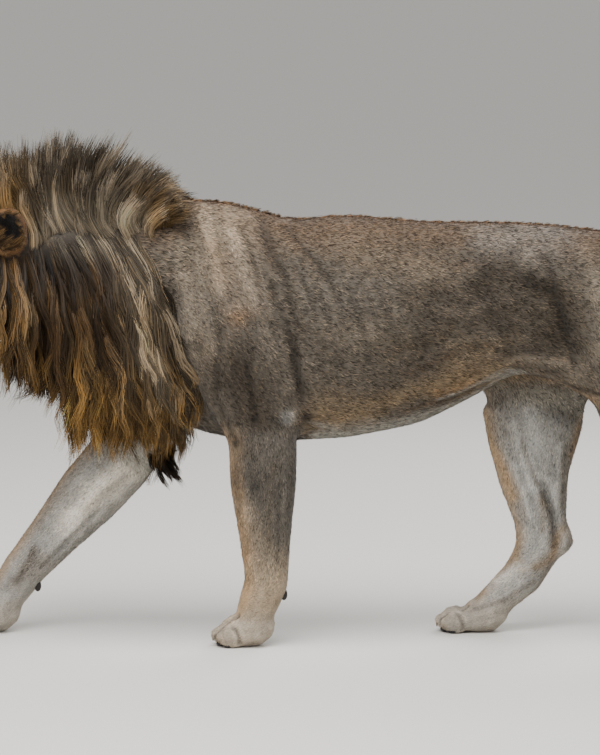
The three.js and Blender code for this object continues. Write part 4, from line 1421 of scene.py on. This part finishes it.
def growMane():
    plan = manePlan
    rng = np.random.default_rng(plan["seed"])
    top = ease(normals[:, 2], 0.75, 0.9) * (co[:, 2] > side([(0, 80)])[0, 1])
    dense = 1 + 1.3 * ease(co[:, 2], side([(0, 72)])[0, 1], side([(0, 82)])[0, 1])
    weight = inMane * (1 - top) * dense * (1 - ease(nearEar(co), 0.2, 0.5))
    corner, share = scatter(rng, plan["locks"], weight)
    root = blendOf(co, corner, share)
    depth = rng.random(plan["locks"]) ** 0.6
    run = turned(followed(maneLines, root[:, 1:]), rng.normal(0, plan["turn"], len(root)))
    # shorter where it borders the face
    fringe = 0.36 + 0.64 * ease(fromHead(root)[:, 1], -132, -40)
    run = run * (rng.uniform(0.86, 1.06, len(root)) * (0.8 + 0.2 * depth) * fringe)[:, None, None]
    yz, bright = gatherLocks(plan, root[:, None, 1:] + overHem(root[:, 1:], run, rng), rng)
    x = maneOut(root, yz, depth, plan["sunk"])
    paths = np.concatenate((x[..., None], yz), -1)
    # the hair faces out from the middle of the neck and chest
    middle = side([(20, 66)])[0]
    out = unit((paths - np.array((0, *middle))) * (1.0, 0.35, 0.35))
    golden = np.where(rng.random(len(root)) < plan["golden"], rng.uniform(0.2, 0.7, len(root)), 0)

    def tone(p, s, lock):
        y, z = percent(p)
        colours = plainHair("brown", p)
        colours = layTone(colours, ease(y, 17, 10) * 0.8, "amber")
        colours = layTone(colours, golden[lock][:, None] * ease(s, 0.1, 0.6), "straw")
        colours = layTone(colours, ease(z, 75, 82) * ease(y, 13, 17) * 0.95, "pale")
        colours = layTone(colours, ease(y, 22, 28) * ease(z, 86, 76) * 0.65, "grey")
        border = np.interp(z, (40, 46, 56, 66, 76, 84, 90), (30, 30.4, 29.6, 28.6, 27.4, 26.0, 25.6))
        colours = layTone(colours, ease(y - border, -6.0, -1.5) * ease(z, 86, 80) * 0.6, "grey")
        colours = layTone(colours, ease(y - border, -1.3, -0.3) * ease(z, 84, 78) * 0.35, "dark")
        ragged = rng.normal(0, plan["ragged"], len(paths))[lock][:, None]
        colours = layTone(colours, ease(s, 0.35, 0.95) * ease(z + ragged, 60, 44) * 0.95, "gold")
        # the under-layers darker: partly the mane's dark under-hair, partly painted shade deep in it
        under = (1 - ease(depth[lock], 0.35, 0.8))[:, None] * (1 - 0.5 * ease(y - border, -8, -3))
        colours = layTone(colours, under * 0.85, "dark")
        colours = layTone(colours, (1 - ease(s, 0.0, 0.25)) * 0.45 * (z < 74), "dark")
        # painted shade between the clumps, with each clump's own tone
        colours = colours * bright[lock][:, None, None]
        return layTone(colours, ease(s, 0.3, 0.05) * ease(z, 80, 85) * 0.4, "roots")

    radius = plan["radius"] * rng.uniform(0.6, 1.25, len(root)) * np.where(depth > 0.75, 0.85, 1.15)
    hides = [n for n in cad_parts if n.startswith("mane_") and n != "mane_crest"]
    growStrands("mane", plan, paths, out, radius, tone, root, parts[corner[:, 0]], hides)


def growCrest():
    plan = crestPlan
    rng = np.random.default_rng(plan["seed"])
    # narrower between the ears
    halfWidth = np.interp(fromHead(co)[:, 1], (-20, 60), (85 * mm, 150 * mm))
    top = ease(normals[:, 2], 0.5, 0.75) * (co[:, 2] > side([(0, 78)])[0, 1]) * (np.abs(co[:, 0]) < halfWidth)
    behindBrow = ease(fromHead(co)[:, 1], -130, -104)
    rear = side([(29.4, 80)])[0, 0]
    weight = np.maximum(inMane, behindBrow * (co[:, 1] < rear)) * top
    corner, share = scatter(rng, plan["locks"], weight)
    root = blendOf(co, corner, share)
    run = turned(followed(crestLines, root[:, 1:]), rng.normal(0, plan["turn"], len(root)))
    # 0 on the midline, 1 at the crest's edge, where the locks are shorter and lean out more
    edge = np.clip(np.abs(root[:, 0]) / plan["halfWidth"], 0, 1)
    # shorter over the brow
    fringe = 0.26 + 0.74 * ease(fromHead(root)[:, 1], -124, -50)
    run = run * (rng.uniform(0.94, 1.2, len(root)) * (1 - 0.5 * edge**2) * fringe)[:, None, None]
    s = np.linspace(0, 1, stationCount)[None]
    x = root[:, :1] * (1 + (0.4 + 0.35 * edge[:, None]) * s)
    x = x + rng.normal(0, plan["scatter"], (len(root), 1)) * s
    yz, bright = gatherLocks(plan, root[:, None, 1:] + run, rng)
    paths = np.concatenate((x[..., None], yz), -1)
    out = np.stack(np.broadcast_arrays(np.sign(root[:, :1]) * (0.4 + 0.6 * edge[:, None]), 0.15, 0.25), -1)
    out = np.broadcast_to(out, paths.shape)

    def tone(p, s, lock):
        y, z = percent(p)
        colours = plainHair("crest", p)
        colours = layTone(colours, ease(y, 15.5, 12) * 0.5, "gold")
        colours = layTone(colours, ease(y, 23.0, 25) * ease(z, 93, 90) * 0.5, "amber")
        colours = layTone(colours, ease(y, 23.5, 26) * ease(z, 92, 89) * 0.2, "gold")
        colours = layTone(colours, ease(z, 92, 87) * ease(y, 14, 17) * ease(y, 28, 25) * 0.6, "pale")
        colours = layTone(colours, ease(s, 0.55, 0.9) * 0.5, "smoke")
        colours = layTone(colours, ease(s, 0.75, 1.0) * 0.5, "crestTip")
        # painted shade between the clumps, with each clump's own tone
        colours = colours * bright[lock][:, None, None]
        return layTone(colours, ease(s, 0.45, 0.1) * ease(y, 14, 17) * ease(y, 28.5, 26) * 0.75, "roots")

    radius = plan["radius"] * rng.uniform(0.6, 1.2, len(root))
    growStrands("crest", plan, paths, out, radius, tone, root, parts[corner[:, 0]], ["mane_crest"])


manePaint = tuftMaterial("maneHair", 0.5, 0.0)
growMane()
growCrest()


# the smaller stretches of long hair: tail, elbow, spine and ears

def hairPaths(root, ahead, fall, long):
    # from each root the way ahead, bending towards fall at the tip
    t = np.linspace(0, 1, stationCount)[None, :, None]
    return root[:, None] + (ahead[:, None] * t + fall[:, None] * t**2) * np.asarray(long)[:, None, None]


def plainTone(name, tip, strength=0.8):
    # one tone from the root, another towards the tip, the same in every lock
    return lambda p, s, _: layTone(plainHair(name, p), ease(s, 0.3, 1.0) * strength, tip)


def growSmall(name, plan, root, ahead, fall, long, out, tone, part, hides=()):
    paths = hairPaths(root, ahead, fall, long)
    outward = np.broadcast_to(np.asarray(out)[:, None], paths.shape)
    growStrands(name, plan, paths, outward, np.full(len(root), plan["radius"]), tone, root, part, hides)


smallPlan = {"wild": 0.06, "stray": 2.0, "shortest": 0.72}
tailPlan = {**smallPlan, "locks": 110, "strands": 30, "bends": 8, "width": 1.9, "wave": 3 * mm,
            "waveLength": 0.1, "seed": 31, "contrast": 0.35, "lockContrast": 0.25, "radius": 9 * mm,
            "spread": (0.8, 1.0, 1.0, 0.7, 0.35)}
elbowPlan = {**smallPlan, "locks": 16, "strands": 40, "bends": 6, "width": 1.2, "wave": 4 * mm,
             "waveLength": 0.1, "seed": 32, "contrast": 0.35, "lockContrast": 0.2, "radius": 9 * mm,
             "spread": (1.0, 1.0, 0.9, 0.7, 0.4)}
spinePlan = {**smallPlan, "locks": 420, "strands": 12, "bends": 4, "width": 1.3, "wave": 0.5 * mm,
             "waveLength": 0.1, "seed": 33, "contrast": 0.4, "lockContrast": 0.3, "radius": 6 * mm,
             "spread": (1.0, 1.0, 1.0, 0.9, 0.8),
             "line": [(29, 92), (36, 90), (46, 90), (60, 88), (72, 87), (81, 84)]}
earPlan = {**smallPlan, "locks": 120, "strands": 12, "bends": 6, "width": 1.1, "wave": 1 * mm,
           "waveLength": 0.05, "seed": 34, "contrast": 0.3, "lockContrast": 0.25, "radius": 5 * mm,
           "spread": (1.0, 1.0, 0.9, 0.7, 0.4), "rim": 0.43}


def growTail():
    rng = np.random.default_rng(tailPlan["seed"])
    count = tailPlan["locks"]
    low, high = (np.array(v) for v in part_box("tail_tuft"))
    top = np.array(((low[0] + high[0]) / 2 - 6 * mm, low[1] + 34 * mm, high[2] - 12 * mm))
    top = top * 0.8 + centre("tail_end") * 0.2
    tip = np.array(((low[0] + high[0]) / 2 + 4 * mm, high[1] - 16 * mm, low[2] + 6 * mm))
    t = rng.random(count)[:, None] * 0.6
    angle = rng.uniform(0, 2 * math.pi, count)
    around = np.stack((np.cos(angle), np.sin(angle) * 0.8, np.sin(angle) * 0.5), -1)
    root = top + (tip - top) * t + around * 9 * mm
    reach = np.linalg.norm(tip - top) * (1 - t[:, 0] * 0.85) * rng.uniform(0.8, 1.02, count)
    growSmall("tailTuft", tailPlan, root, unit(tip - top) + around * 0.42, -around * 0.36, reach, around,
              plainTone("dark", "brown"), np.full(count, nodeNames.index("tail_end")), ["tail_tuft"])


def growElbow():
    # the dark fringe behind the right elbow
    rng = np.random.default_rng(elbowPlan["seed"])
    count = elbowPlan["locks"]
    y, z = side([(27.6, 36.5)])[0]
    start = np.stack((rng.uniform(-0.15, -0.1, count), y + rng.uniform(-26, 20, count) * mm,
                      z + rng.uniform(-14, 22, count) * mm), -1)
    root = nearestOn(skinTree, start)
    ahead = np.array((0, 0.45, -0.85)) + rng.normal(0, 0.1, (count, 3))
    growSmall("elbowFringe", elbowPlan, root, ahead, np.broadcast_to((0, 0.2, -0.3), root.shape),
              rng.uniform(44, 84, count) * mm, np.broadcast_to((-1, 0.4, 0), root.shape),
              plainTone("dark", "brown", 0.5), np.full(count, nodeNames.index("upper_foreleg_right")))


def growSpine():
    rng = np.random.default_rng(spinePlan["seed"])
    count = spinePlan["locks"]
    places = through(side(spinePlan["line"]), 200)
    at = rng.uniform(0, 198, count)
    k = at.astype(int)
    y, z = (places[k] + (places[k + 1] - places[k]) * (at - k)[:, None]).T
    start = np.stack((rng.normal(0, 9 * mm, count), y, z + 40 * mm), -1)
    root = nearestOn(skinTree, start)
    ahead = np.array((0, 0.94, 0.3)) + rng.normal(0, 0.12, (count, 3))
    growSmall("spineFringe", spinePlan, root, ahead, np.broadcast_to((0, 0.1, -0.18), root.shape),
              rng.uniform(9, 16, count) * mm, np.stack((np.sign(start[:, 0]) * 0.3, 0 * y, 1 + 0 * y), -1),
              plainTone("spine", "amber", 0.4), np.full(count, nodeNames.index("trunk")))


def growEars():
    rng = np.random.default_rng(earPlan["seed"])
    starts, aheads, outs, owners, longs = [], [], [], [], []
    inner = earPlan["locks"] // 5
    for hand, name in ((1, "ear_left"), (-1, "ear_right")):
        low, high = (np.array(v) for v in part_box(name))
        # round the rim, leaning back; the last ones rise across the opening from below
        onRim = rng.uniform(0, 360, earPlan["locks"] // 2 - inner)
        a = np.radians(np.append(onRim, rng.uniform(185, 300, inner)))
        within = np.arange(len(a)) >= len(onRim)
        over = rng.uniform(-0.1, 0.7, len(a))
        y = (low[1] + high[1]) / 2 + np.cos(a) * (high[1] - low[1]) * earPlan["rim"]
        z = (low[2] + high[2]) / 2 + np.sin(a) * (high[2] - low[2]) * earPlan["rim"]
        start = np.stack((np.full(len(a), high[0] if hand > 0 else low[0]), y, z), -1)
        starts.append(nearestOn(skinTree, start))
        rim = np.stack((0.3 * hand + 0 * a, np.cos(a) * over + 0.8 * np.abs(np.sin(a)),
                        np.sin(a) * over - 0.8 * np.abs(np.cos(a))), -1)
        ahead = np.where(within[:, None], (0.45 * hand, 0.6, 0.65), rim)
        aheads.append(ahead + rng.normal(0, 0.15, (len(a), 3)))
        longs.append(np.where(within, rng.uniform(26, 46, len(a)), rng.uniform(9, 20, len(a))) * mm)
        outs.append(np.broadcast_to((hand, 0.0, 0.2), (len(a), 3)))
        owners.append(np.full(len(a), nodeNames.index(name)))
    root = np.concatenate(starts)
    growSmall("earHair", earPlan, root, np.concatenate(aheads), np.broadcast_to((0, 0.3, 0.1), root.shape),
              np.concatenate(longs), np.concatenate(outs), plainTone("brown", "amber"),
              np.concatenate(owners))


growTail()
growElbow()
growSpine()
growEars()
print("fringes grown")


# eyes, nose, whiskers

def eyeMaterial():
    # rings round the ball's own -y axis, which looks out
    p = Paint("eyeball")
    x = p.node("ShaderNodeSeparateXYZ", {}, {0: p.place()})
    z = Wire(p, x.socket.node.outputs[2])
    flat = p.node("ShaderNodeCombineXYZ", {}, {0: x, 2: z})
    rays = p.noise(p.node("ShaderNodeVectorMath", {"operation": "NORMALIZE"}, {0: flat}), 9.0, 4.0)
    far = (x * x + z * z) ** 0.5 / (eyePlan["radius"] * mm)
    iris = p.mix(p.step(far + 0.1 * rays, 0.3, 0.62), srgb(196, 140, 52), srgb(140, 84, 26))
    iris = p.mix(0.5 * rays, iris, srgb(88, 52, 18))
    iris = p.mix(p.step(far, 0.6, 0.68), iris, srgb(36, 24, 15))
    iris = p.mix(p.step(far, 0.72, 0.8), iris, srgb(96, 72, 58))
    tone = p.mix(p.step(far, 0.2, 0.235), srgb(4, 3, 3), iris)
    return p.finish({"Base Color": tone, "Roughness": 0.14, "Coat Weight": 1.0, "Coat Roughness": 0.03})


def leatherMaterial(name, tone, deep, roughness, cells):
    # small cells with dark cracks between them
    p = Paint(name)
    edge = p.node("ShaderNodeTexVoronoi", {"feature": "DISTANCE_TO_EDGE"},
                  {"Vector": p.place(), "Scale": cells})
    crack = p.step(edge, 0.0, 0.12)
    patch = p.noise(p.place(), 90.0, 3.0)
    colour = p.mix(crack * (0.55 + 0.5 * patch), deep, tone)
    colour = p.mix(1.0, colour, p.tone(), "MULTIPLY")
    return p.finish({"Base Color": colour, "Roughness": roughness + 0.25 * (1 - crack),
                     "Normal": p.bump(crack + 0.4 * patch, 0.5, 0.7 * mm)})


def tonedMesh(name, points, faces, tones=1.0):
    mesh = meshFrom(name, points, faces)
    addTones(mesh, np.broadcast_to(np.asarray(tones, float).reshape(-1, 1), (len(points), 3)))
    return mesh


# the ball's clear front and the dark rim of the lids
eyeMeshPlan = {"rows": 40, "columns": 48, "frontFrom": 0.72, "frontRise": 0.05, "rimSteps": 73,
               "rimOut": 1.2, "rimThick": 1.5, "upperThick": 0.5, "cornerThick": 1.2, "cornerReach": 0.35}


def addEyes():
    plan = eyeMeshPlan
    paint = eyeMaterial()
    lidPaint = leatherMaterial("eyelid", srgb(40, 30, 26), srgb(14, 10, 9), 0.45, 900.0)
    look, across, up = eyeAxes()
    for hand, name in ((1, "left"), (-1, "right")):
        points, faces = ball(plan["rows"], plan["columns"])
        # the poles lie along y, and the clear front stands a little proud
        points = np.stack((points[:, 0], -points[:, 2], points[:, 1]), -1)
        front = ease(-points[:, 1], plan["frontFrom"], 1.0)
        points = points * (1 + plan["frontRise"] * front[:, None]) * eyePlan["radius"] * mm
        mesh = meshFrom("eyeball_" + name, points, faces)
        eye = piece("eyeball_" + name, mesh, paint, ["eye_" + name])
        ahead = (look * (hand, 1, 1)) @ headTurn.T
        turn = Vector((0, -1, 0)).rotation_difference(Vector(ahead)).to_matrix().to_4x4()
        eye.matrix_world = Matrix.Translation(Vector(onHead(eyePlan["home"] * (hand, 1, 1)))) @ turn
        rim = []
        angles = np.linspace(0, 2 * math.pi, plan["rimSteps"])
        for angle in angles:
            # where the almond's edge lies in this direction
            t = np.linspace(0, 22, 400)
            r = t[np.argmax(almond(t * math.cos(angle), t * math.sin(angle)) < 0)]
            rim.append(across * r * math.cos(angle) + up * r * math.sin(angle))
        rim = np.array(rim)
        deep = np.sqrt(np.maximum((eyePlan["radius"] + plan["rimOut"]) ** 2 - (rim**2).sum(1), 1.0))
        line = (eyePlan["home"] + rim + look * deep[:, None]) * (hand, 1, 1)
        # thicker above, and most of all in the inner corner
        thick = plan["rimThick"] + plan["upperThick"] * np.sin(angles)
        thick += plan["cornerThick"] * fade(angles - math.pi, plan["cornerReach"])
        points, faces = tube(onHead(line), thick * mm, 8)
        piece("lidRim_" + name, tonedMesh("lidRim_" + name, points, faces), lidPaint)


nosePlan = {"half": (36.0, 15.0, 24.0), "tilt": -4, "nostril": (18.0, -3.0), "holeDepth": 10, "slitDepth": 6,
            "wing": 1.5, "groove": 1.6, "grooveDepth": 3.0, "back": 4}


def addNose():
    points, faces = ball(70, 90)
    # the poles lie along y too, so the front is evenly covered
    px, py, pz = points[:, 0], -points[:, 2], points[:, 1]
    half = nosePlan["half"]
    narrow = 0.44 + 0.56 * ease(pz, -0.95, 0.25)
    x = half[0] * np.sign(px) * np.abs(px) ** 0.85 * narrow
    y = half[1] * np.sign(py) * np.abs(py) ** 0.7
    z = half[2] * np.sign(pz) * np.abs(pz) ** 0.8
    front = ease(-py, 0.0, 0.4)
    nx, nz = nosePlan["nostril"]
    tone = np.ones(len(points))
    for hand in (1, -1):
        hole = np.exp(-((x - hand * nx) / 6.0) ** 2 - ((z - nz) / 5.5) ** 2)
        slit = np.exp(-((x - hand * (nx + 10)) / 7.5) ** 2 - ((z - nz + 4 - 0.2 * np.abs(x)) / 3.0) ** 2)
        y += front * (nosePlan["holeDepth"] * hole + nosePlan["slitDepth"] * slit)
        # the wing of the nostril stands up over it
        z += front * nosePlan["wing"] * np.exp(-((x - hand * nx) / 12.0) ** 2 - ((z - nz - 9) / 6.0) ** 2)
        # the nostrils darkened: painted shade in their openings
        tone *= 1 - 0.93 * np.clip(1.25 * hole + slit, 0, 1) * front
    groove = fade(x, nosePlan["groove"]) * ease(-z, -12, 0) * front
    y += nosePlan["grooveDepth"] * groove
    # painted shade down the groove
    tone *= 1 - 0.6 * groove
    a = math.radians(nosePlan["tilt"])
    y, z = y * math.cos(a) - z * math.sin(a), y * math.sin(a) + z * math.cos(a)
    place = noseHome - (0, nosePlan["back"], 0) + np.stack((x, y, z), -1)
    paint = leatherMaterial("noseLeather", srgb(74, 51, 47), srgb(34, 24, 22), 0.42, 520.0)
    piece("noseLeather", tonedMesh("noseLeather", onHead(place), faces, tone), paint, ["nose"])


whiskerPlan = {"seed": 21, "long": (62, 112), "rootRadius": 0.55, "tipRadius": 0.12,
               "browHairs": 3, "browLong": 46, "browRadius": 0.45, "sides": 5}


def addWhiskers():
    plan = whiskerPlan
    rng = np.random.default_rng(plan["seed"])
    hairs = []

    def addHair(line, hand, radius):
        # the line is on the left side of the head, in millimetres
        radii = np.linspace(radius, plan["tipRadius"], len(line)) * mm
        hairs.append(tube(onHead(line * (hand, 1, 1)), radii, plan["sides"]))

    for hand in (1, -1):
        t = np.linspace(0, 1, 9)[:, None]
        for index, root in enumerate(whiskerRoots):
            row, k = divmod(index, 5)
            long = rng.uniform(*plan["long"]) * (0.8 + 0.08 * k)
            ahead = unit(np.array((0.85, -0.28 + 0.16 * k, 0.10 - 0.16 * row)) + rng.normal(0, 0.06, 3))
            sag = np.array((0, 22, -24)) * t**2 * long / 100
            addHair(root + ahead * t * long + sag, hand, plan["rootRadius"])
        # a few over the eye
        t = np.linspace(0, 1, 7)[:, None]
        for k in range(plan["browHairs"]):
            ahead = unit(np.array((0.35, 0.15 * k, 0.9)))
            line = np.array((50 + 6 * k, -190 + 8 * k, 72)) + ahead * t * plan["browLong"]
            addHair(line + np.array((6, 14, -8)) * t**2, hand, plan["browRadius"])
    points, faces = gather(hairs)
    p = Paint("whisker")
    streak = p.noise(p.place(), 60.0, 2.0)
    colour = p.mix(streak, srgb(226, 220, 208), srgb(180, 170, 154))
    paint = p.finish({"Base Color": colour, "Roughness": 0.35})
    piece("whiskers", meshFrom("whiskers", points, faces), paint)


addEyes()
addNose()
addWhiskers()
print("face finished")


# claws and pads

# millimetres; the claws stand at this share of the paw's half width
clawPlan = {"thick": 3.4, "spot": 0.65, "front": 2, "round": 19, "lowest": 1.0}
# half sizes of the balls; the small black pads behind the wrists lie at these places in the side plane
padPlan = {"toe": (11, 14, 7.5), "toeBack": 25, "sole": (0.62, 26, 11), "soleBack": 72, "soleBend": 8,
           "wrist": (14, 9, 15), "lowest": 0.2, "forepaw_left": (42.2, 9.6), "forepaw_right": (13.9, 9.8)}


def addPaws():
    claws, pads = [], []
    for paw, (mid, front, wide) in pawFronts.items():
        for toe in range(4):
            share = (toe - 1.5) / 1.5
            x = mid + share * wide * clawPlan["spot"]
            y = front + (clawPlan["front"] + clawPlan["round"] * share * share) * mm
            t = np.linspace(0, 1, 8)[:, None]
            # a hooked claw, drawn back into its sheath but for the point
            hook = np.concatenate((share * 1.5 * t, 12 - 9.5 * np.sin(t * 1.9), 27 - 14 * t**1.5), 1) * mm
            thin = clawPlan["thick"] * np.sqrt(np.clip(1 - t[:, 0] ** 1.6, 0.004, 1)) * mm
            points, faces = tube(hook + (x, y, 0), thin, 8)
            points[:, 2] = np.maximum(points[:, 2], clawPlan["lowest"] * mm)
            claws.append((points, faces))
            points, faces = ball(12, 16)
            half = np.array(padPlan["toe"]) * mm
            pads.append((points * half + (x, y + padPlan["toeBack"] * mm, half[2]), faces))
        points, faces = ball(16, 24)
        across, long, high = padPlan["sole"]
        sole = points * (wide * across, long * mm, high * mm)
        sole[:, 1] += padPlan["soleBend"] * mm * np.cos(points[:, 0] * 6)
        pads.append((sole + (mid, front + padPlan["soleBack"] * mm, high * mm), faces))
        if paw in padPlan:
            y, z = side([padPlan[paw]])[0]
            spot = skinTree.find_nearest(Vector((mid, y, z)))[0]
            pads.append((points * (np.array(padPlan["wrist"]) * mm) + np.array(spot), faces))
    points, faces = gather(claws)
    p = Paint("claw")
    band = p.noise(p.stretched((1.0, 1.0, 3.0)), 180.0, 3.0)
    paint = p.finish({"Base Color": p.mix(band, srgb(62, 50, 42), srgb(136, 120, 100)), "Roughness": 0.3})
    piece("claws", meshFrom("claws", points, faces), paint)
    points, faces = gather(pads)
    points[:, 2] = np.maximum(points[:, 2], padPlan["lowest"] * mm)
    paint = leatherMaterial("pawPad", srgb(40, 33, 31), srgb(16, 12, 11), 0.7, 420.0)
    piece("pawPads", tonedMesh("pawPads", points, faces), paint)


addPaws()
print("paws finished")


# floor, light and camera

# each lamp: place, size, power
stagePlan = {"floor": srgb(222, 219, 213), "grain": (0.5, 0.49, 0.47), "radius": 60.0, "sides": 64,
             "room": srgb(226, 226, 226), "roomLight": 0.8, "aim": (0, -0.1, 0.6),
             "lamps": [((1.6, -0.6, 4.4), 3.4, 300.0), ((6.0, -1.5, 2.2), 4.0, 110.0),
                       ((-3.5, 2.0, 3.4), 3.0, 120.0)]}


def setStage():
    plan = stagePlan
    a = np.linspace(0, 2 * math.pi, plan["sides"], endpoint=False)
    ring = np.stack((np.cos(a), np.sin(a), 0 * a), -1) * plan["radius"]
    disc = np.vstack((ring, [[0, 0, 0]]))
    fan = np.array([(i, (i + 1) % len(ring), len(ring)) for i in range(len(ring))])
    p = Paint("floor")
    grain = p.noise(p.place(), 40.0, 3.0)
    floor = newObject("floor", meshFrom("floor", disc, fan))
    floor.data.materials.append(p.finish({
        "Base Color": p.mix(0.06 * grain, plan["floor"], plan["grain"]), "Roughness": 0.9}))
    for number, (spot, size, power) in enumerate(plan["lamps"]):
        lamp = bpy.data.lights.new(f"lamp{number + 1}", "AREA")
        lamp.shape, lamp.size, lamp.energy = "DISK", size, power
        holder = newObject(f"lamp{number + 1}", lamp)
        holder.location = spot
        holder.rotation_euler = (Vector(plan["aim"]) - Vector(spot)).to_track_quat("-Z", "Y").to_euler()
    world = bpy.data.worlds.new("room")
    world.use_nodes = True
    back = world.node_tree.nodes["Background"]
    back.inputs["Color"].default_value = (*plan["room"], 1)
    back.inputs["Strength"].default_value = plan["roomLight"]
    bpy.context.scene.world = world


# aim in the side plane; height is how much the camera takes in there, in heights of the lion; rise in
# degrees over the floor
cameraPlan = {"aim": (43.2, 52.2), "height": 1.4917, "distance": 12.0, "rise": 7.0, "sensor": 36.0,
              "end": 200}


def setCamera():
    y, z = side([cameraPlan["aim"]])[0]
    aim = Vector((0, y, z))
    rise = math.radians(cameraPlan["rise"])
    camera = bpy.data.cameras.new("camera")
    camera.sensor_width = cameraPlan["sensor"]
    camera.lens = cameraPlan["sensor"] * cameraPlan["distance"] / (cadSize.z * cameraPlan["height"])
    camera.clip_end = cameraPlan["end"]
    holder = newObject("camera", camera)
    holder.location = aim + Vector((math.cos(rise), 0, math.sin(rise))) * cameraPlan["distance"]
    holder.rotation_euler = (aim - holder.location).to_track_quat("-Z", "Y").to_euler()
    bpy.context.scene.camera = holder


setStage()
setCamera()
